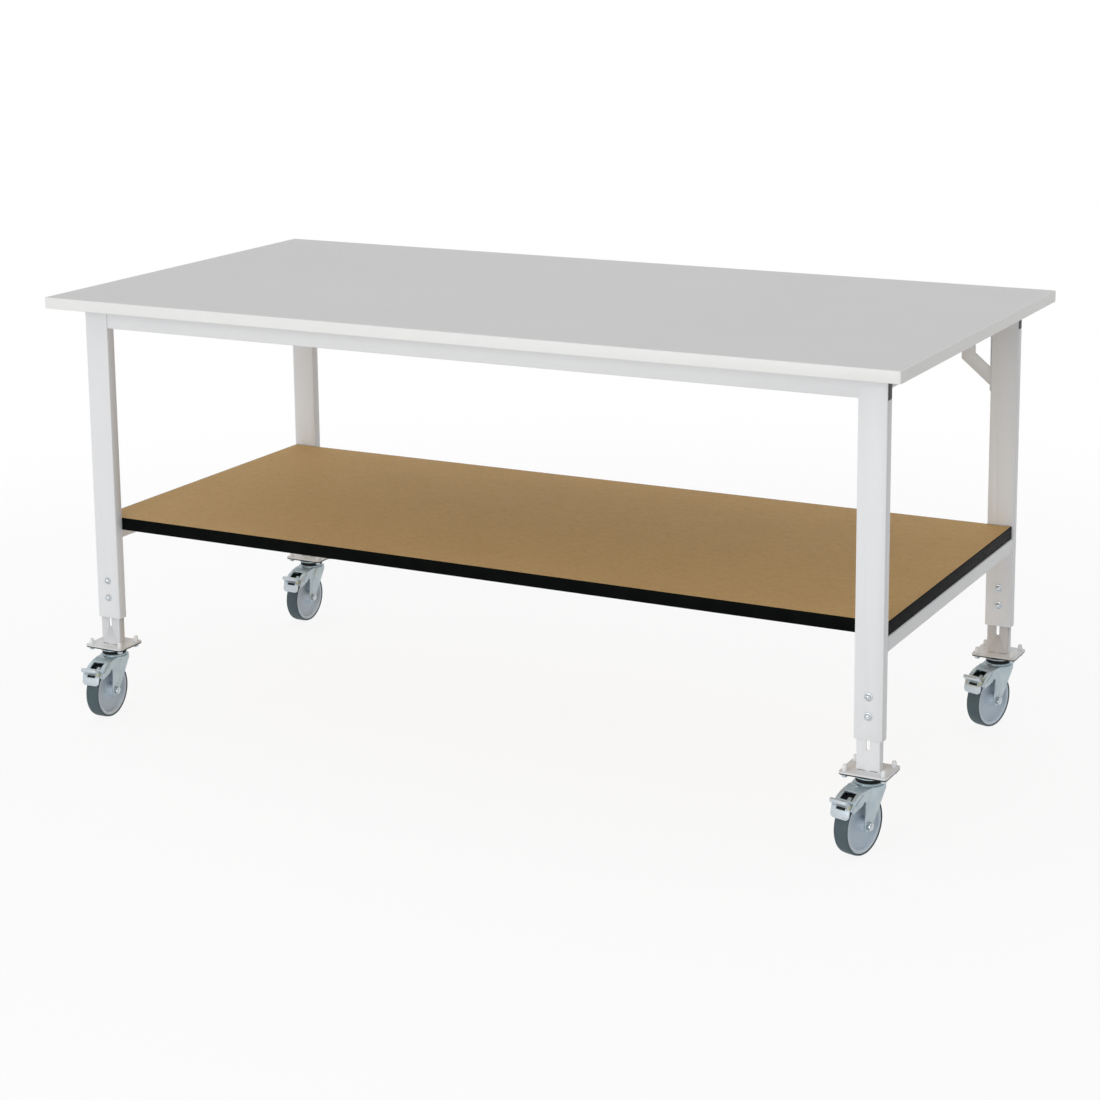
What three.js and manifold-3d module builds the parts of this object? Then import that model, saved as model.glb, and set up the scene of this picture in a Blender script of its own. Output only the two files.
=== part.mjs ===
// Assembly table: a large worktop on a welded tube frame, with a shelf at half height,
// four telescopic legs and four braked swivel castors.
// Millimetres. X runs along the table, Y to the back and Z up, with the floor at Z = 0.

import * as THREE from 'three';
import { mergeVertices } from 'three/addons/utils/BufferGeometryUtils.js';
import Module from 'manifold-3d';

const wasm = await Module();
wasm.setup();

// Clearances
const FIT_GAP = 0.3;
const SLIDE_GAP = 0.5;

// Worktop
const TOP_LENGTH = 2000;
const TOP_DEPTH = 1000;
const TOP_THICKNESS = 25;
const TOP_HEIGHT = 975;
const TOP_CORNER = 4;
const EDGE_BAND = 2;
const EDGE_ROUNDING = 1.5;

// Outer legs: upright rectangular tubes set in from the edges of the worktop
const LEG_WIDTH = 60;
const LEG_DEPTH = 25;
const LEG_WALL = 2;
const LEG_INSET_X = 52;
const LEG_INSET_Y = 75;
const TUBE_CORNER = 2.5;

// Long rails: tubes that pass through the leg tops, with a plug in each end
const RAIL_HEIGHT = 50;
const RAIL_WALL = 2;
const PLUG_FLANGE = 3;
const PLUG_INSERT = 15;
const PLUG_WALL = 2.5;

// Top side rails and shelf crossbars: tubes between the front and rear legs
const SIDE_RAIL_WIDTH = 20;
const SIDE_RAIL_HEIGHT = 30;
const CROSSBAR_WIDTH = 30;
const CROSSBAR_HEIGHT = 30;
const CROSS_TUBE_WALL = 2;

// Shelf: a board between the front and rear legs, on the crossbars
const SHELF_HEIGHT = 458;
const SHELF_THICKNESS = 28;
const SHELF_END_INSET = 3;
const SHELF_LEG_GAP = 1;
const SHELF_CORNER = 2.5;

// Knee braces between the rear rail and the rear legs
const BRACE_BAR = 30;
const BRACE_THICKNESS = 8;
const BRACE_REACH = 70;
const BRACE_DROP = 134;
const BRACE_SLOPE = THREE.MathUtils.degToRad(40);
const BRACE_PLATE = 2;
const BRACE_PLATE_TAIL = 8;
const BRACE_FLANGE = 3;
const BRACE_FLANGE_LENGTH = 60;

// Telescopic inner legs, with how far each one slides out and in from the setting shown
const INNER_WIDTH = 50;
const INNER_WALL = 2;
const CHANNEL_LIP = 5;
const CHANNEL_FOOT = 10;
const RAISE_TRAVEL = 145;
const LOWER_TRAVEL = 55;
const LOWER_CLEARANCE = 7;
const SLOT_WIDTH = 7;
const SLOT_MARGIN = 11.5;
const INNER_HEADROOM = 30;

// Clamp screws: two above each other on the front face of each leg
const SCREW_RADIUS = 3;
const SCREW_FIRST = 48;
const SCREW_PITCH = 40;
const SCREW_FLANGE_RADIUS = 8.5;
const SCREW_FLANGE = 1.6;
const SCREW_HEAD_RADIUS = 6;
const SCREW_HEAD = 5;
const SCREW_NUT_FLATS = 10;
const SCREW_NUT = 5;
const SCREW_TIP = 2;

// Base plate of the inner leg and the castor plate under it
const PLATE_LENGTH = 100;
const PLATE_DEPTH = 85;
const PLATE_CORNER = 8;
const BASE_PLATE = 3;
const CASTER_PLATE = 3;
const BOLT_SPACING_X = 80;
const BOLT_SPACING_Y = 60;
const BOLT_RADIUS = 3;
const BOLT_FLATS = 10;
const BOLT_HEAD = 4.2;
const CAP_NUT = 14.5;
const CAP_NUT_RADIUS = 5.5;
const WELD_SLOT_LENGTH = 16;
const WELD_SLOT_WIDTH = 3;
const WELD_SLOT_SPACING = 26;

// Castor swivel: two bearing races on a kingpin
const UPPER_RACE = 7.5;
const LOWER_RACE = 12;
const RACE_RIM = 2.5;
const RACE_RADIUS = 31;
const RACE_NECK_RADIUS = 25;
const KINGPIN_RADIUS = 6;
const KINGPIN_NUT_FLATS = 18;
const KINGPIN_NUT = 7;
const KINGPIN_TIP = 2;

// Castor wheel
const WHEEL_RADIUS = 62.5;
const TYRE_THICKNESS = 4.5;
const TYRE_WIDTH = 32;
const TREAD_WIDTH = 20;
const RIM_WIDTH = 29;
const RIM_LIP = 3;
const RIM_SLOPE = 5;
const WEB_THICKNESS = 12;
const HUB_RADIUS = 15;
const HUB_END_GAP = 1;
const AXLE_RADIUS = 4;
const AXLE_FLATS = 13;
const AXLE_HEAD = 5.3;
const AXLE_NUT = 6.5;
const AXLE_TIP = 1;

// The way each castor points, as turned about its kingpin
const CASTER_HEADINGS = {
  front_left: THREE.MathUtils.degToRad(-86),
  front_right: THREE.MathUtils.degToRad(-104),
  rear_left: THREE.MathUtils.degToRad(-90),
  rear_right: THREE.MathUtils.degToRad(-107),
};

// Castor fork: pressed steel with a hood round the wheel
const CASTER_TRAIL = 36;
const FORK_WIDTH = 49;
const FORK_SHEET = 2.5;
const FORK_BEND = 2;
const HOOD_CLEARANCE = 10;
const CROWN_RADIUS = 33;
const CROWN_RIM = 10;
const HOOD_END = THREE.MathUtils.degToRad(38);
const ROOF_END = THREE.MathUtils.degToRad(50);
const WINDOW_FRONT = THREE.MathUtils.degToRad(54);
const WINDOW_REAR = THREE.MathUtils.degToRad(72);
const WINDOW_WIDTH = 28;
const NOSE_CLEARANCE = 1;
const SKIRT_DROP = 14.5;
const NOTCH_RADIUS = 5;
const NOTCH_FRONT = 14;
const BOSS_RADIUS = 13;
const KNEE_RISE = 19;
const KNEE_DEPTH = 4;
const KNEE_REAR = 31;
const KNEE_FRONT = 11;
const WHEEL_SIDE_GAP = 2.5;

// Brake pedal on a pin in the nose of the fork, with its shoe
const PEDAL_ANGLE = THREE.MathUtils.degToRad(45);
const PEDAL_PIN_CLEARANCE = 6.5;
const PEDAL_PIN_RADIUS = 3;
const PEDAL_PIN_HEAD_RADIUS = 5;
const PEDAL_PIN_HEAD = 1.5;
const PEDAL_HUB_RADIUS = 5;
const PEDAL_SIDE_GAP = 1;
const LOCK_LIP_REACH = 16;
const LOCK_LIP_DROP = 21;
const LOCK_LIP_SHEET = 3.5;
const LOCK_LIP_CORNER = 8;
const RELEASE_LIP_INSET = 1.5;
const RELEASE_LIP_REACH = 20;
const RELEASE_LIP_RISE = 16;
const RELEASE_LIP_SHEET = 7;
const RELEASE_LIP_EASE = 1.5;
const SHOE_CLEARANCE = 4;
const SHOE_THICKNESS = 4.5;
const SHOE_WIDTH = 26;
const SHOE_START = THREE.MathUtils.degToRad(33);
const SHOE_END = THREE.MathUtils.degToRad(40.5);
const SHOE_CARRIER = 5;

// Facets
const WHEEL_STEPS = 24;
const ROUND_STEPS = 8;
const RACE_STEPS = 12;
const CORNER_STEPS = 1;
const PLATE_STEPS = 2;
const ARC_STEPS = 3;
const BEVEL_STEPS = 1;
const MERGE_TOLERANCE = 1e-4;

// Derived sizes
const FRAME_TOP = TOP_HEIGHT - TOP_THICKNESS;
const LEG_X = TOP_LENGTH / 2 - LEG_INSET_X - LEG_WIDTH / 2;
const LEG_Y = TOP_DEPTH / 2 - LEG_INSET_Y - LEG_DEPTH / 2;
const LEG_OUTER_X = LEG_X + LEG_WIDTH / 2;
const LEG_INNER_X = LEG_X - LEG_WIDTH / 2;
const LEG_INNER_Y = LEG_Y - LEG_DEPTH / 2;
const LEG_BORE_DEPTH = LEG_DEPTH - 2 * LEG_WALL;
const RAIL_DEPTH = LEG_BORE_DEPTH - 2 * FIT_GAP;
const RAIL_BOTTOM = FRAME_TOP - RAIL_HEIGHT;
const INNER_DEPTH = LEG_BORE_DEPTH - 2 * SLIDE_GAP;
const WHEEL_FACET = Math.PI / WHEEL_STEPS;
const AXLE_HEIGHT = WHEEL_RADIUS * Math.cos(WHEEL_FACET);
const HOOD_RADIUS = WHEEL_RADIUS + HOOD_CLEARANCE + FORK_SHEET;
const CROWN_TOP = AXLE_HEIGHT + HOOD_RADIUS;
const CROWN_UNDERSIDE = CROWN_TOP - FORK_SHEET;
const UPPER_RACE_BOTTOM = CROWN_TOP + LOWER_RACE + FIT_GAP;
const CASTER_PLATE_BOTTOM = UPPER_RACE_BOTTOM + UPPER_RACE;
const CASTER_HEIGHT = CASTER_PLATE_BOTTOM + CASTER_PLATE;
const BASE_TOP = CASTER_HEIGHT + BASE_PLATE;
const LEG_BOTTOM = BASE_TOP + LOWER_TRAVEL + LOWER_CLEARANCE;
const SCREW_HEIGHTS = [LEG_BOTTOM + SCREW_FIRST, LEG_BOTTOM + SCREW_FIRST + SCREW_PITCH];
const SLOT_BOTTOM = SCREW_HEIGHTS[0] - LOWER_TRAVEL - SLOT_MARGIN;
const SLOT_TOP = SCREW_HEIGHTS[1] + RAISE_TRAVEL + SLOT_MARGIN;
const INNER_TOP = SLOT_TOP + SLOT_WIDTH / 2 + INNER_HEADROOM;
const FORK_BORE_WIDTH = FORK_WIDTH - 2 * FORK_SHEET;
const PEDAL_WIDTH = FORK_BORE_WIDTH - 2 * PEDAL_SIDE_GAP;
const RELEASE_LIP_WIDTH = PEDAL_WIDTH - 2 * RELEASE_LIP_INSET;
const RIM_RADIUS = WHEEL_RADIUS - TYRE_THICKNESS - FIT_GAP;

// Finishes
const MELAMINE = { color: 0xc9cbcc, roughness: 0.5, metalness: 0 };
const EDGE_PLASTIC = { color: 0xe9eaea, roughness: 0.45, metalness: 0 };
const POWDER_COAT = { color: 0xdcdedf, roughness: 0.45, metalness: 0 };
const BLACK_PLASTIC = { color: 0x15181a, roughness: 0.55, metalness: 0 };
const BROWN_BOARD = { color: 0xa5865d, roughness: 0.75, metalness: 0 };
const ZINC = { color: 0xa9b6bd, roughness: 0.35, metalness: 0.9 };
const BRIGHT_STEEL = { color: 0xd5dadd, roughness: 0.25, metalness: 1 };
const WHEEL_PLASTIC = { color: 0x97a3ad, roughness: 0.5, metalness: 0 };
const TYRE_RUBBER = { color: 0x4a575e, roughness: 0.75, metalness: 0 };

// Turns a closed geometry into a solid that can be joined and cut.
function solidOf(geometry) {
  const bare = geometry.clone();
  bare.deleteAttribute('normal');
  bare.deleteAttribute('uv');
  const merged = mergeVertices(bare, MERGE_TOLERANCE);
  const index = merged.index.array;
  const triangles = [];
  for (let i = 0; i < index.length; i += 3) {
    const [a, b, c] = [index[i], index[i + 1], index[i + 2]];
    if (a !== b && b !== c && c !== a) triangles.push(a, b, c);
  }
  return new wasm.Manifold(
    new wasm.Mesh({
      numProp: 3,
      vertProperties: merged.attributes.position.array,
      triVerts: Uint32Array.from(triangles),
    }),
  );
}

function geometryOf(solid) {
  const mesh = solid.getMesh();
  const geometry = new THREE.BufferGeometry();
  geometry.setAttribute('position', new THREE.BufferAttribute(mesh.vertProperties, 3));
  geometry.setIndex(new THREE.BufferAttribute(mesh.triVerts, 1));
  geometry.computeVertexNormals();
  return geometry;
}

function addPiece(parent, name, solid, finish) {
  const mesh = new THREE.Mesh(geometryOf(solid), new THREE.MeshStandardMaterial(finish));
  mesh.name = name;
  parent.add(mesh);
}

function box(x0, x1, y0, y1, z0, z1) {
  const geometry = new THREE.BoxGeometry(x1 - x0, y1 - y0, z1 - z0);
  return solidOf(geometry.translate((x0 + x1) / 2, (y0 + y1) / 2, (z0 + z1) / 2));
}

function rectangle(width, depth, radius = 0) {
  const [x, y] = [width / 2, depth / 2];
  const shape = new THREE.Shape();
  if (radius === 0) {
    const corners = [[-x, -y], [x, -y], [x, y], [-x, y]];
    return shape.setFromPoints(corners.map(([u, v]) => new THREE.Vector2(u, v)));
  }
  shape.absarc(x - radius, -y + radius, radius, -Math.PI / 2, 0);
  shape.absarc(x - radius, y - radius, radius, 0, Math.PI / 2);
  shape.absarc(-x + radius, y - radius, radius, Math.PI / 2, Math.PI);
  shape.absarc(-x + radius, -y + radius, radius, Math.PI, 1.5 * Math.PI);
  return shape;
}

// An upright slot with round ends, centred on the origin.
function slotShape(width, height) {
  const shape = new THREE.Shape();
  shape.absarc(0, (height - width) / 2, width / 2, 0, Math.PI);
  shape.absarc(0, (width - height) / 2, width / 2, Math.PI, 2 * Math.PI);
  return shape;
}

// Extrudes a shape upwards from Z = 0, with its outer edges rounded by the bevel.
function extrude(shape, length, { bevel = 0, steps = CORNER_STEPS } = {}) {
  const geometry = new THREE.ExtrudeGeometry(shape, {
    depth: length - 2 * bevel,
    curveSegments: steps,
    bevelEnabled: bevel > 0,
    bevelSize: bevel,
    bevelThickness: bevel,
    bevelOffset: -bevel,
    bevelSegments: BEVEL_STEPS,
  });
  return geometry.translate(0, 0, bevel);
}

const X_AXIS = new THREE.Vector3(1, 0, 0);
const Y_AXIS = new THREE.Vector3(0, 1, 0);
const Z_AXIS = new THREE.Vector3(0, 0, 1);
const ALONG_X = new THREE.Matrix4().makeBasis(Y_AXIS, Z_AXIS, X_AXIS);
const ALONG_Y = new THREE.Matrix4().makeBasis(X_AXIS, Z_AXIS, Y_AXIS.clone().negate());

// Extrudes a Y-Z section along X, centred on X = 0.
function extrudeX(section, length, options) {
  return extrude(section, length, options).applyMatrix4(ALONG_X).translate(-length / 2, 0, 0);
}

// Extrudes an X-Z outline along Y, centred on Y = 0.
function extrudeY(outline, length, options) {
  return extrude(outline, length, options).applyMatrix4(ALONG_Y).translate(0, length / 2, 0);
}

// Revolves an outline of [radius, height] points about Y. It starts and ends on the axis, or closes.
function revolve(outline, steps) {
  const points = outline.map(([radius, height]) => new THREE.Vector2(radius, height));
  if (THREE.ShapeUtils.area(points) < 0) points.reverse();
  if (points[0].x > 0) points.push(points[0].clone());
  return new THREE.LatheGeometry(points, steps);
}

function revolveUpright(outline, steps) {
  return revolve(outline, steps).rotateX(Math.PI / 2);
}

function hexagon(flats, height) {
  return new THREE.CylinderGeometry(flats / Math.sqrt(3), flats / Math.sqrt(3), height, 6);
}

// A cylinder along Y from one height to another.
function pin(radius, y0, y1) {
  const geometry = new THREE.CylinderGeometry(radius, radius, y1 - y0, ROUND_STEPS);
  return geometry.translate(0, (y0 + y1) / 2, 0);
}

// A cutter for a round hole along Y that clears a pin of the same radius all round.
function holeFor(radius, y0, y1) {
  return pin((radius + FIT_GAP) / Math.cos(Math.PI / ROUND_STEPS), y0, y1);
}

function tubeSection(width, depth, wall) {
  const section = rectangle(width, depth, TUBE_CORNER);
  section.holes.push(rectangle(width - 2 * wall, depth - 2 * wall));
  return section;
}

function mirroredX(solid, side) {
  return side > 0 ? solid : solid.mirror([1, 0, 0]);
}

const table = new THREE.Group();

const SIDES = [
  { side: 'left', sx: -1 },
  { side: 'right', sx: 1 },
];
const ROWS = [
  { row: 'front', sy: -1 },
  { row: 'rear', sy: 1 },
];
const CORNERS = ROWS.flatMap((row) => SIDES.map((side) => ({ ...row, ...side })));

// A board from its underside up, with an edge band glued round it.
function addBoard(name, length, depth, thickness, corner, bottom, faceFinish, edgeFinish) {
  const [x, y] = [length / 2 - EDGE_BAND, depth / 2 - EDGE_BAND];
  const top = bottom + thickness;
  const slab = extrude(rectangle(length, depth, corner), thickness, { bevel: EDGE_ROUNDING });
  const core = box(-x, x, -y, y, bottom - EDGE_BAND, top + EDGE_BAND);
  addPiece(table, `${name}_board`, box(-x, x, -y, y, bottom, top), faceFinish);
  addPiece(table, `${name}_edging`, solidOf(slab.translate(0, 0, bottom)).subtract(core), edgeFinish);
}

function addLongRail({ row, sy }) {
  const length = 2 * (LEG_OUTER_X - PLUG_FLANGE);
  const tube = extrudeX(tubeSection(RAIL_DEPTH, RAIL_HEIGHT, RAIL_WALL), length);
  addPiece(table, `${row}_rail`, solidOf(tube.translate(0, sy * LEG_Y, FRAME_TOP - RAIL_HEIGHT / 2)),
    POWDER_COAT);
}

// A plug: a flange flush with the outer side of the leg, and a hollow insert in the rail.
function addRailPlug({ row, side, sx, sy }) {
  const boreDepth = RAIL_DEPTH - 2 * (RAIL_WALL + FIT_GAP);
  const boreHeight = RAIL_HEIGHT - 2 * (RAIL_WALL + FIT_GAP);
  const insertSection = rectangle(boreDepth, boreHeight);
  insertSection.holes.push(rectangle(boreDepth - 2 * PLUG_WALL, boreHeight - 2 * PLUG_WALL));
  const flange = extrudeX(rectangle(RAIL_DEPTH, RAIL_HEIGHT, TUBE_CORNER), PLUG_FLANGE);
  const insert = extrudeX(insertSection, PLUG_INSERT + PLUG_FLANGE / 2);
  const flangeX = LEG_OUTER_X - PLUG_FLANGE / 2;
  const insertX = flangeX - (PLUG_INSERT + PLUG_FLANGE / 2) / 2;
  const plug = solidOf(flange.translate(flangeX, 0, 0)).add(solidOf(insert.translate(insertX, 0, 0)));
  const placed = mirroredX(plug, sx).translate([0, sy * LEG_Y, FRAME_TOP - RAIL_HEIGHT / 2]);
  addPiece(table, `rail_plug_${row}_${side}`, placed, BLACK_PLASTIC);
}

// A tube between the front and rear legs, flush with their outer sides.
function addCrossTube(name, sx, width, height, top) {
  const section = tubeSection(width, height, CROSS_TUBE_WALL);
  const tube = extrudeY(section, 2 * LEG_INNER_Y);
  addPiece(table, name, solidOf(tube.translate(sx * (LEG_OUTER_X - width / 2), 0, top - height / 2)),
    POWDER_COAT);
}

// An outer leg: its side walls are notched at the top, so that the long rail drops in between its
// front and back walls.
function addOuterLeg({ row, side, sx, sy }) {
  const tube = extrude(tubeSection(LEG_WIDTH, LEG_DEPTH, LEG_WALL), FRAME_TOP - LEG_BOTTOM);
  const notch = box(-LEG_WIDTH, LEG_WIDTH, -LEG_BORE_DEPTH / 2, LEG_BORE_DEPTH / 2, RAIL_BOTTOM,
    FRAME_TOP + LEG_WALL);
  let leg = solidOf(tube.translate(0, 0, LEG_BOTTOM)).subtract(notch);
  for (const height of SCREW_HEIGHTS) {
    const hole = holeFor(SCREW_RADIUS, -LEG_DEPTH, -LEG_DEPTH / 2 + 2 * LEG_WALL);
    leg = leg.subtract(solidOf(hole.translate(0, 0, height)));
  }
  addPiece(table, `outer_leg_${row}_${side}`, leg.translate([sx * LEG_X, sy * LEG_Y, 0]), POWDER_COAT);
}

// A knee brace in the plane of the rear legs: a riser under the rail, a sloping bar, and the plates
// that meet the rail and the leg. Distances run inwards from the leg and down from the rail.
function addCornerBrace({ side, sx }) {
  const rise = Math.tan(BRACE_SLOPE);
  const barHeight = BRACE_BAR / Math.cos(BRACE_SLOPE);
  const inside = BRACE_REACH - BRACE_BAR;
  const outline = [
    [BRACE_REACH, 0],
    [BRACE_REACH, BRACE_DROP - BRACE_REACH * rise],
    [BRACE_PLATE / 2, BRACE_DROP - (BRACE_PLATE / 2) * rise],
    [BRACE_PLATE / 2, BRACE_DROP - barHeight - (BRACE_PLATE / 2) * rise],
    [inside, BRACE_DROP - barHeight - inside * rise],
    [inside, 0],
  ].map(([inwards, down]) => new THREE.Vector2(LEG_INNER_X - inwards, RAIL_BOTTOM - down));
  const bar = solidOf(extrudeY(new THREE.Shape(outline), BRACE_THICKNESS));
  const plateLength = BRACE_DROP + BRACE_PLATE_TAIL;
  const plateSection = rectangle(LEG_DEPTH, plateLength, TUBE_CORNER);
  const plate = extrudeX(plateSection, BRACE_PLATE)
    .translate(LEG_INNER_X - BRACE_PLATE / 2, 0, RAIL_BOTTOM - plateLength / 2);
  const flangeMiddle = LEG_INNER_X - BRACE_REACH + BRACE_BAR / 2;
  const flange = box(flangeMiddle - BRACE_FLANGE_LENGTH / 2, flangeMiddle + BRACE_FLANGE_LENGTH / 2,
    -RAIL_DEPTH / 2, RAIL_DEPTH / 2, RAIL_BOTTOM - BRACE_FLANGE, RAIL_BOTTOM);
  const brace = bar.add(solidOf(plate)).add(flange);
  addPiece(table, `corner_brace_${side}`, mirroredX(brace, sx).translate([0, LEG_Y, 0]), POWDER_COAT);
}

// An inner leg: a lipped channel, slotted in front and open at the back, welded on a base plate, which
// has bolt holes at its corners and weld slots along the front and back of the channel.
function addInnerLeg({ row, side, sx, sy }) {
  const sink = BASE_PLATE / 2;
  const tube = extrude(tubeSection(INNER_WIDTH, INNER_DEPTH, INNER_WALL), INNER_TOP - BASE_TOP + sink);
  const slot = extrudeY(slotShape(SLOT_WIDTH, SLOT_TOP - SLOT_BOTTOM + SLOT_WIDTH), 2 * INNER_DEPTH,
    { steps: PLATE_STEPS });
  const opening = box(CHANNEL_LIP - INNER_WIDTH / 2, INNER_WIDTH / 2 - CHANNEL_LIP, 0, INNER_DEPTH,
    BASE_TOP + CHANNEL_FOOT, INNER_TOP + INNER_WALL);
  const weldSlotY = INNER_DEPTH / 2 + FIT_GAP;
  let plate = solidOf(extrude(rectangle(PLATE_LENGTH, PLATE_DEPTH, PLATE_CORNER), BASE_PLATE,
    { steps: PLATE_STEPS }).translate(0, 0, CASTER_HEIGHT));
  const boltBore = holeFor(BOLT_RADIUS, CASTER_HEIGHT - FIT_GAP, BASE_TOP + FIT_GAP);
  const boltHole = solidOf(boltBore.rotateX(Math.PI / 2));
  const weldSlot = box(-WELD_SLOT_LENGTH / 2, WELD_SLOT_LENGTH / 2, -WELD_SLOT_WIDTH / 2,
    WELD_SLOT_WIDTH / 2, CASTER_HEIGHT - FIT_GAP, BASE_TOP + FIT_GAP);
  for (const { sx: px } of SIDES) {
    for (const { sy: py } of ROWS) {
      const slotY = py * (weldSlotY + WELD_SLOT_WIDTH / 2);
      plate = plate
        .subtract(boltHole.translate([(px * BOLT_SPACING_X) / 2, (py * BOLT_SPACING_Y) / 2, 0]))
        .subtract(weldSlot.translate([(px * WELD_SLOT_SPACING) / 2, slotY, 0]));
    }
  }
  const leg = solidOf(tube.translate(0, 0, BASE_TOP - sink))
    .subtract(solidOf(slot.translate(0, 0, (SLOT_TOP + SLOT_BOTTOM) / 2)))
    .subtract(opening)
    .add(plate);
  addPiece(table, `inner_leg_${row}_${side}`, leg.translate([sx * LEG_X, sy * LEG_Y, 0]), POWDER_COAT);
}

// A clamp screw: a flanged dome head on the front of the outer leg, a shank through the slot of the
// inner leg, and the nut inside it.
function addClampScrews({ row, side, sx, sy }) {
  const nutStart = LEG_WALL + SLIDE_GAP + INNER_WALL + FIT_GAP;
  const tip = nutStart + SCREW_NUT + SCREW_TIP;
  const dome = SCREW_FLANGE + SCREW_HEAD;
  const outline = [
    [0, -dome],
    [SCREW_HEAD_RADIUS * Math.SQRT1_2, -dome + SCREW_HEAD * (1 - Math.SQRT1_2)],
    [SCREW_HEAD_RADIUS, -SCREW_FLANGE],
    [SCREW_FLANGE_RADIUS, -SCREW_FLANGE],
    [SCREW_FLANGE_RADIUS, 0],
    [SCREW_RADIUS, 0],
    [SCREW_RADIUS, tip],
    [0, tip],
  ];
  const nut = hexagon(SCREW_NUT_FLATS, SCREW_NUT).translate(0, nutStart + SCREW_NUT / 2, 0);
  const screw = solidOf(revolve(outline, ROUND_STEPS)).add(solidOf(nut));
  SCREW_HEIGHTS.forEach((height, index) => {
    const place = [sx * LEG_X, sy * LEG_Y - LEG_DEPTH / 2, height];
    const level = index === 0 ? 'lower' : 'upper';
    addPiece(table, `clamp_screw_${row}_${side}_${level}`, screw.translate(place), BRIGHT_STEEL);
  });
}

// A castor plate: the upper race and kingpin hang under it, and four bolts with cap nuts hold it to
// the base plate of the leg.
function casterPlate() {
  const outline = rectangle(PLATE_LENGTH, PLATE_DEPTH, PLATE_CORNER);
  const sink = CASTER_PLATE / 2;
  const nutTop = CROWN_UNDERSIDE - FIT_GAP;
  const swivel = [
    [0, nutTop - KINGPIN_NUT - KINGPIN_TIP],
    [KINGPIN_RADIUS, nutTop - KINGPIN_NUT - KINGPIN_TIP],
    [KINGPIN_RADIUS, UPPER_RACE_BOTTOM],
    [RACE_RADIUS, UPPER_RACE_BOTTOM],
    [RACE_RADIUS, UPPER_RACE_BOTTOM + RACE_RIM],
    [RACE_NECK_RADIUS, UPPER_RACE_BOTTOM + RACE_RIM],
    [RACE_NECK_RADIUS, CASTER_PLATE_BOTTOM + sink],
    [0, CASTER_PLATE_BOTTOM + sink],
  ];
  const kingpinNut = hexagon(KINGPIN_NUT_FLATS, KINGPIN_NUT).rotateX(Math.PI / 2)
    .translate(0, 0, nutTop - KINGPIN_NUT / 2);
  let plate = solidOf(extrude(outline, CASTER_PLATE, { steps: PLATE_STEPS })
    .translate(0, 0, CASTER_PLATE_BOTTOM));
  plate = plate.add(solidOf(revolveUpright(swivel, RACE_STEPS))).add(solidOf(kingpinNut));
  const bolt = fixingBolt();
  for (const { sx } of SIDES) {
    for (const { sy } of ROWS) {
      plate = plate.add(bolt.translate([(sx * BOLT_SPACING_X) / 2, (sy * BOLT_SPACING_Y) / 2, 0]));
    }
  }
  return plate;
}

// A bolt from its hexagon head under the castor plate to its cap nut on the base plate.
function fixingBolt() {
  const head = hexagon(BOLT_FLATS, BOLT_HEAD).rotateX(Math.PI / 2)
    .translate(0, 0, CASTER_PLATE_BOTTOM - BOLT_HEAD / 2 + FIT_GAP);
  const shank = pin(BOLT_RADIUS, CASTER_PLATE_BOTTOM - BOLT_HEAD / 2, BASE_TOP + CAP_NUT / 2)
    .rotateX(Math.PI / 2);
  const shoulder = BASE_TOP + CAP_NUT - CAP_NUT_RADIUS / 2;
  const cap = [
    [0, BASE_TOP],
    [CAP_NUT_RADIUS, BASE_TOP],
    [CAP_NUT_RADIUS, shoulder],
    [CAP_NUT_RADIUS / 2, BASE_TOP + CAP_NUT],
    [0, BASE_TOP + CAP_NUT],
  ];
  return solidOf(head).add(solidOf(shank)).add(solidOf(revolveUpright(cap, ROUND_STEPS)));
}

// The castor pieces below share a frame with X from the kingpin towards the pedal, Y along the axle
// and Z up from the floor.
function aroundAxle(radius, angle) {
  return [CASTER_TRAIL + radius * Math.cos(angle), AXLE_HEIGHT + radius * Math.sin(angle)];
}

// The side view of the hood, from the crown over the wheel to the nose.
function hoodOutline() {
  const skirt = AXLE_HEIGHT + WHEEL_RADIUS - SKIRT_DROP;
  const notchX = CASTER_TRAIL + NOTCH_FRONT;
  const outline = new THREE.Shape();
  outline.moveTo(0, CROWN_TOP);
  outline.lineTo(CASTER_TRAIL, CROWN_TOP);
  outline.absarc(CASTER_TRAIL, AXLE_HEIGHT, HOOD_RADIUS, Math.PI / 2, HOOD_END, true);
  outline.lineTo(...aroundAxle(WHEEL_RADIUS + NOSE_CLEARANCE, HOOD_END));
  outline.absarc(notchX, skirt, NOTCH_RADIUS, 0, Math.PI);
  outline.lineTo(0, skirt);
  return outline;
}

// The two legs of the fork as one full body: the round crown drawn in to the knee, then down to the
// axle bosses.
function legBody(sheet) {
  const rimRadius = CROWN_RADIUS - sheet;
  const rim = [
    [0, CROWN_TOP - CROWN_RIM],
    [rimRadius, CROWN_TOP - CROWN_RIM],
    [rimRadius, CROWN_TOP - FORK_BEND - sheet],
    [rimRadius - FORK_BEND, CROWN_TOP - sheet],
    [0, CROWN_TOP - sheet],
  ];
  const half = FORK_WIDTH / 2 - sheet;
  const knee = box(CASTER_TRAIL - KNEE_REAR + sheet, CASTER_TRAIL + KNEE_FRONT - sheet, -half, half,
    AXLE_HEIGHT + KNEE_RISE, AXLE_HEIGHT + KNEE_RISE + KNEE_DEPTH);
  const boss = solidOf(pin(BOSS_RADIUS - sheet, -half, half).translate(CASTER_TRAIL, 0, AXLE_HEIGHT));
  const shoulders = wasm.Manifold.hull([solidOf(revolveUpright(rim, RACE_STEPS)), knee]);
  return shoulders.add(wasm.Manifold.hull([knee, boss]));
}

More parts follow.
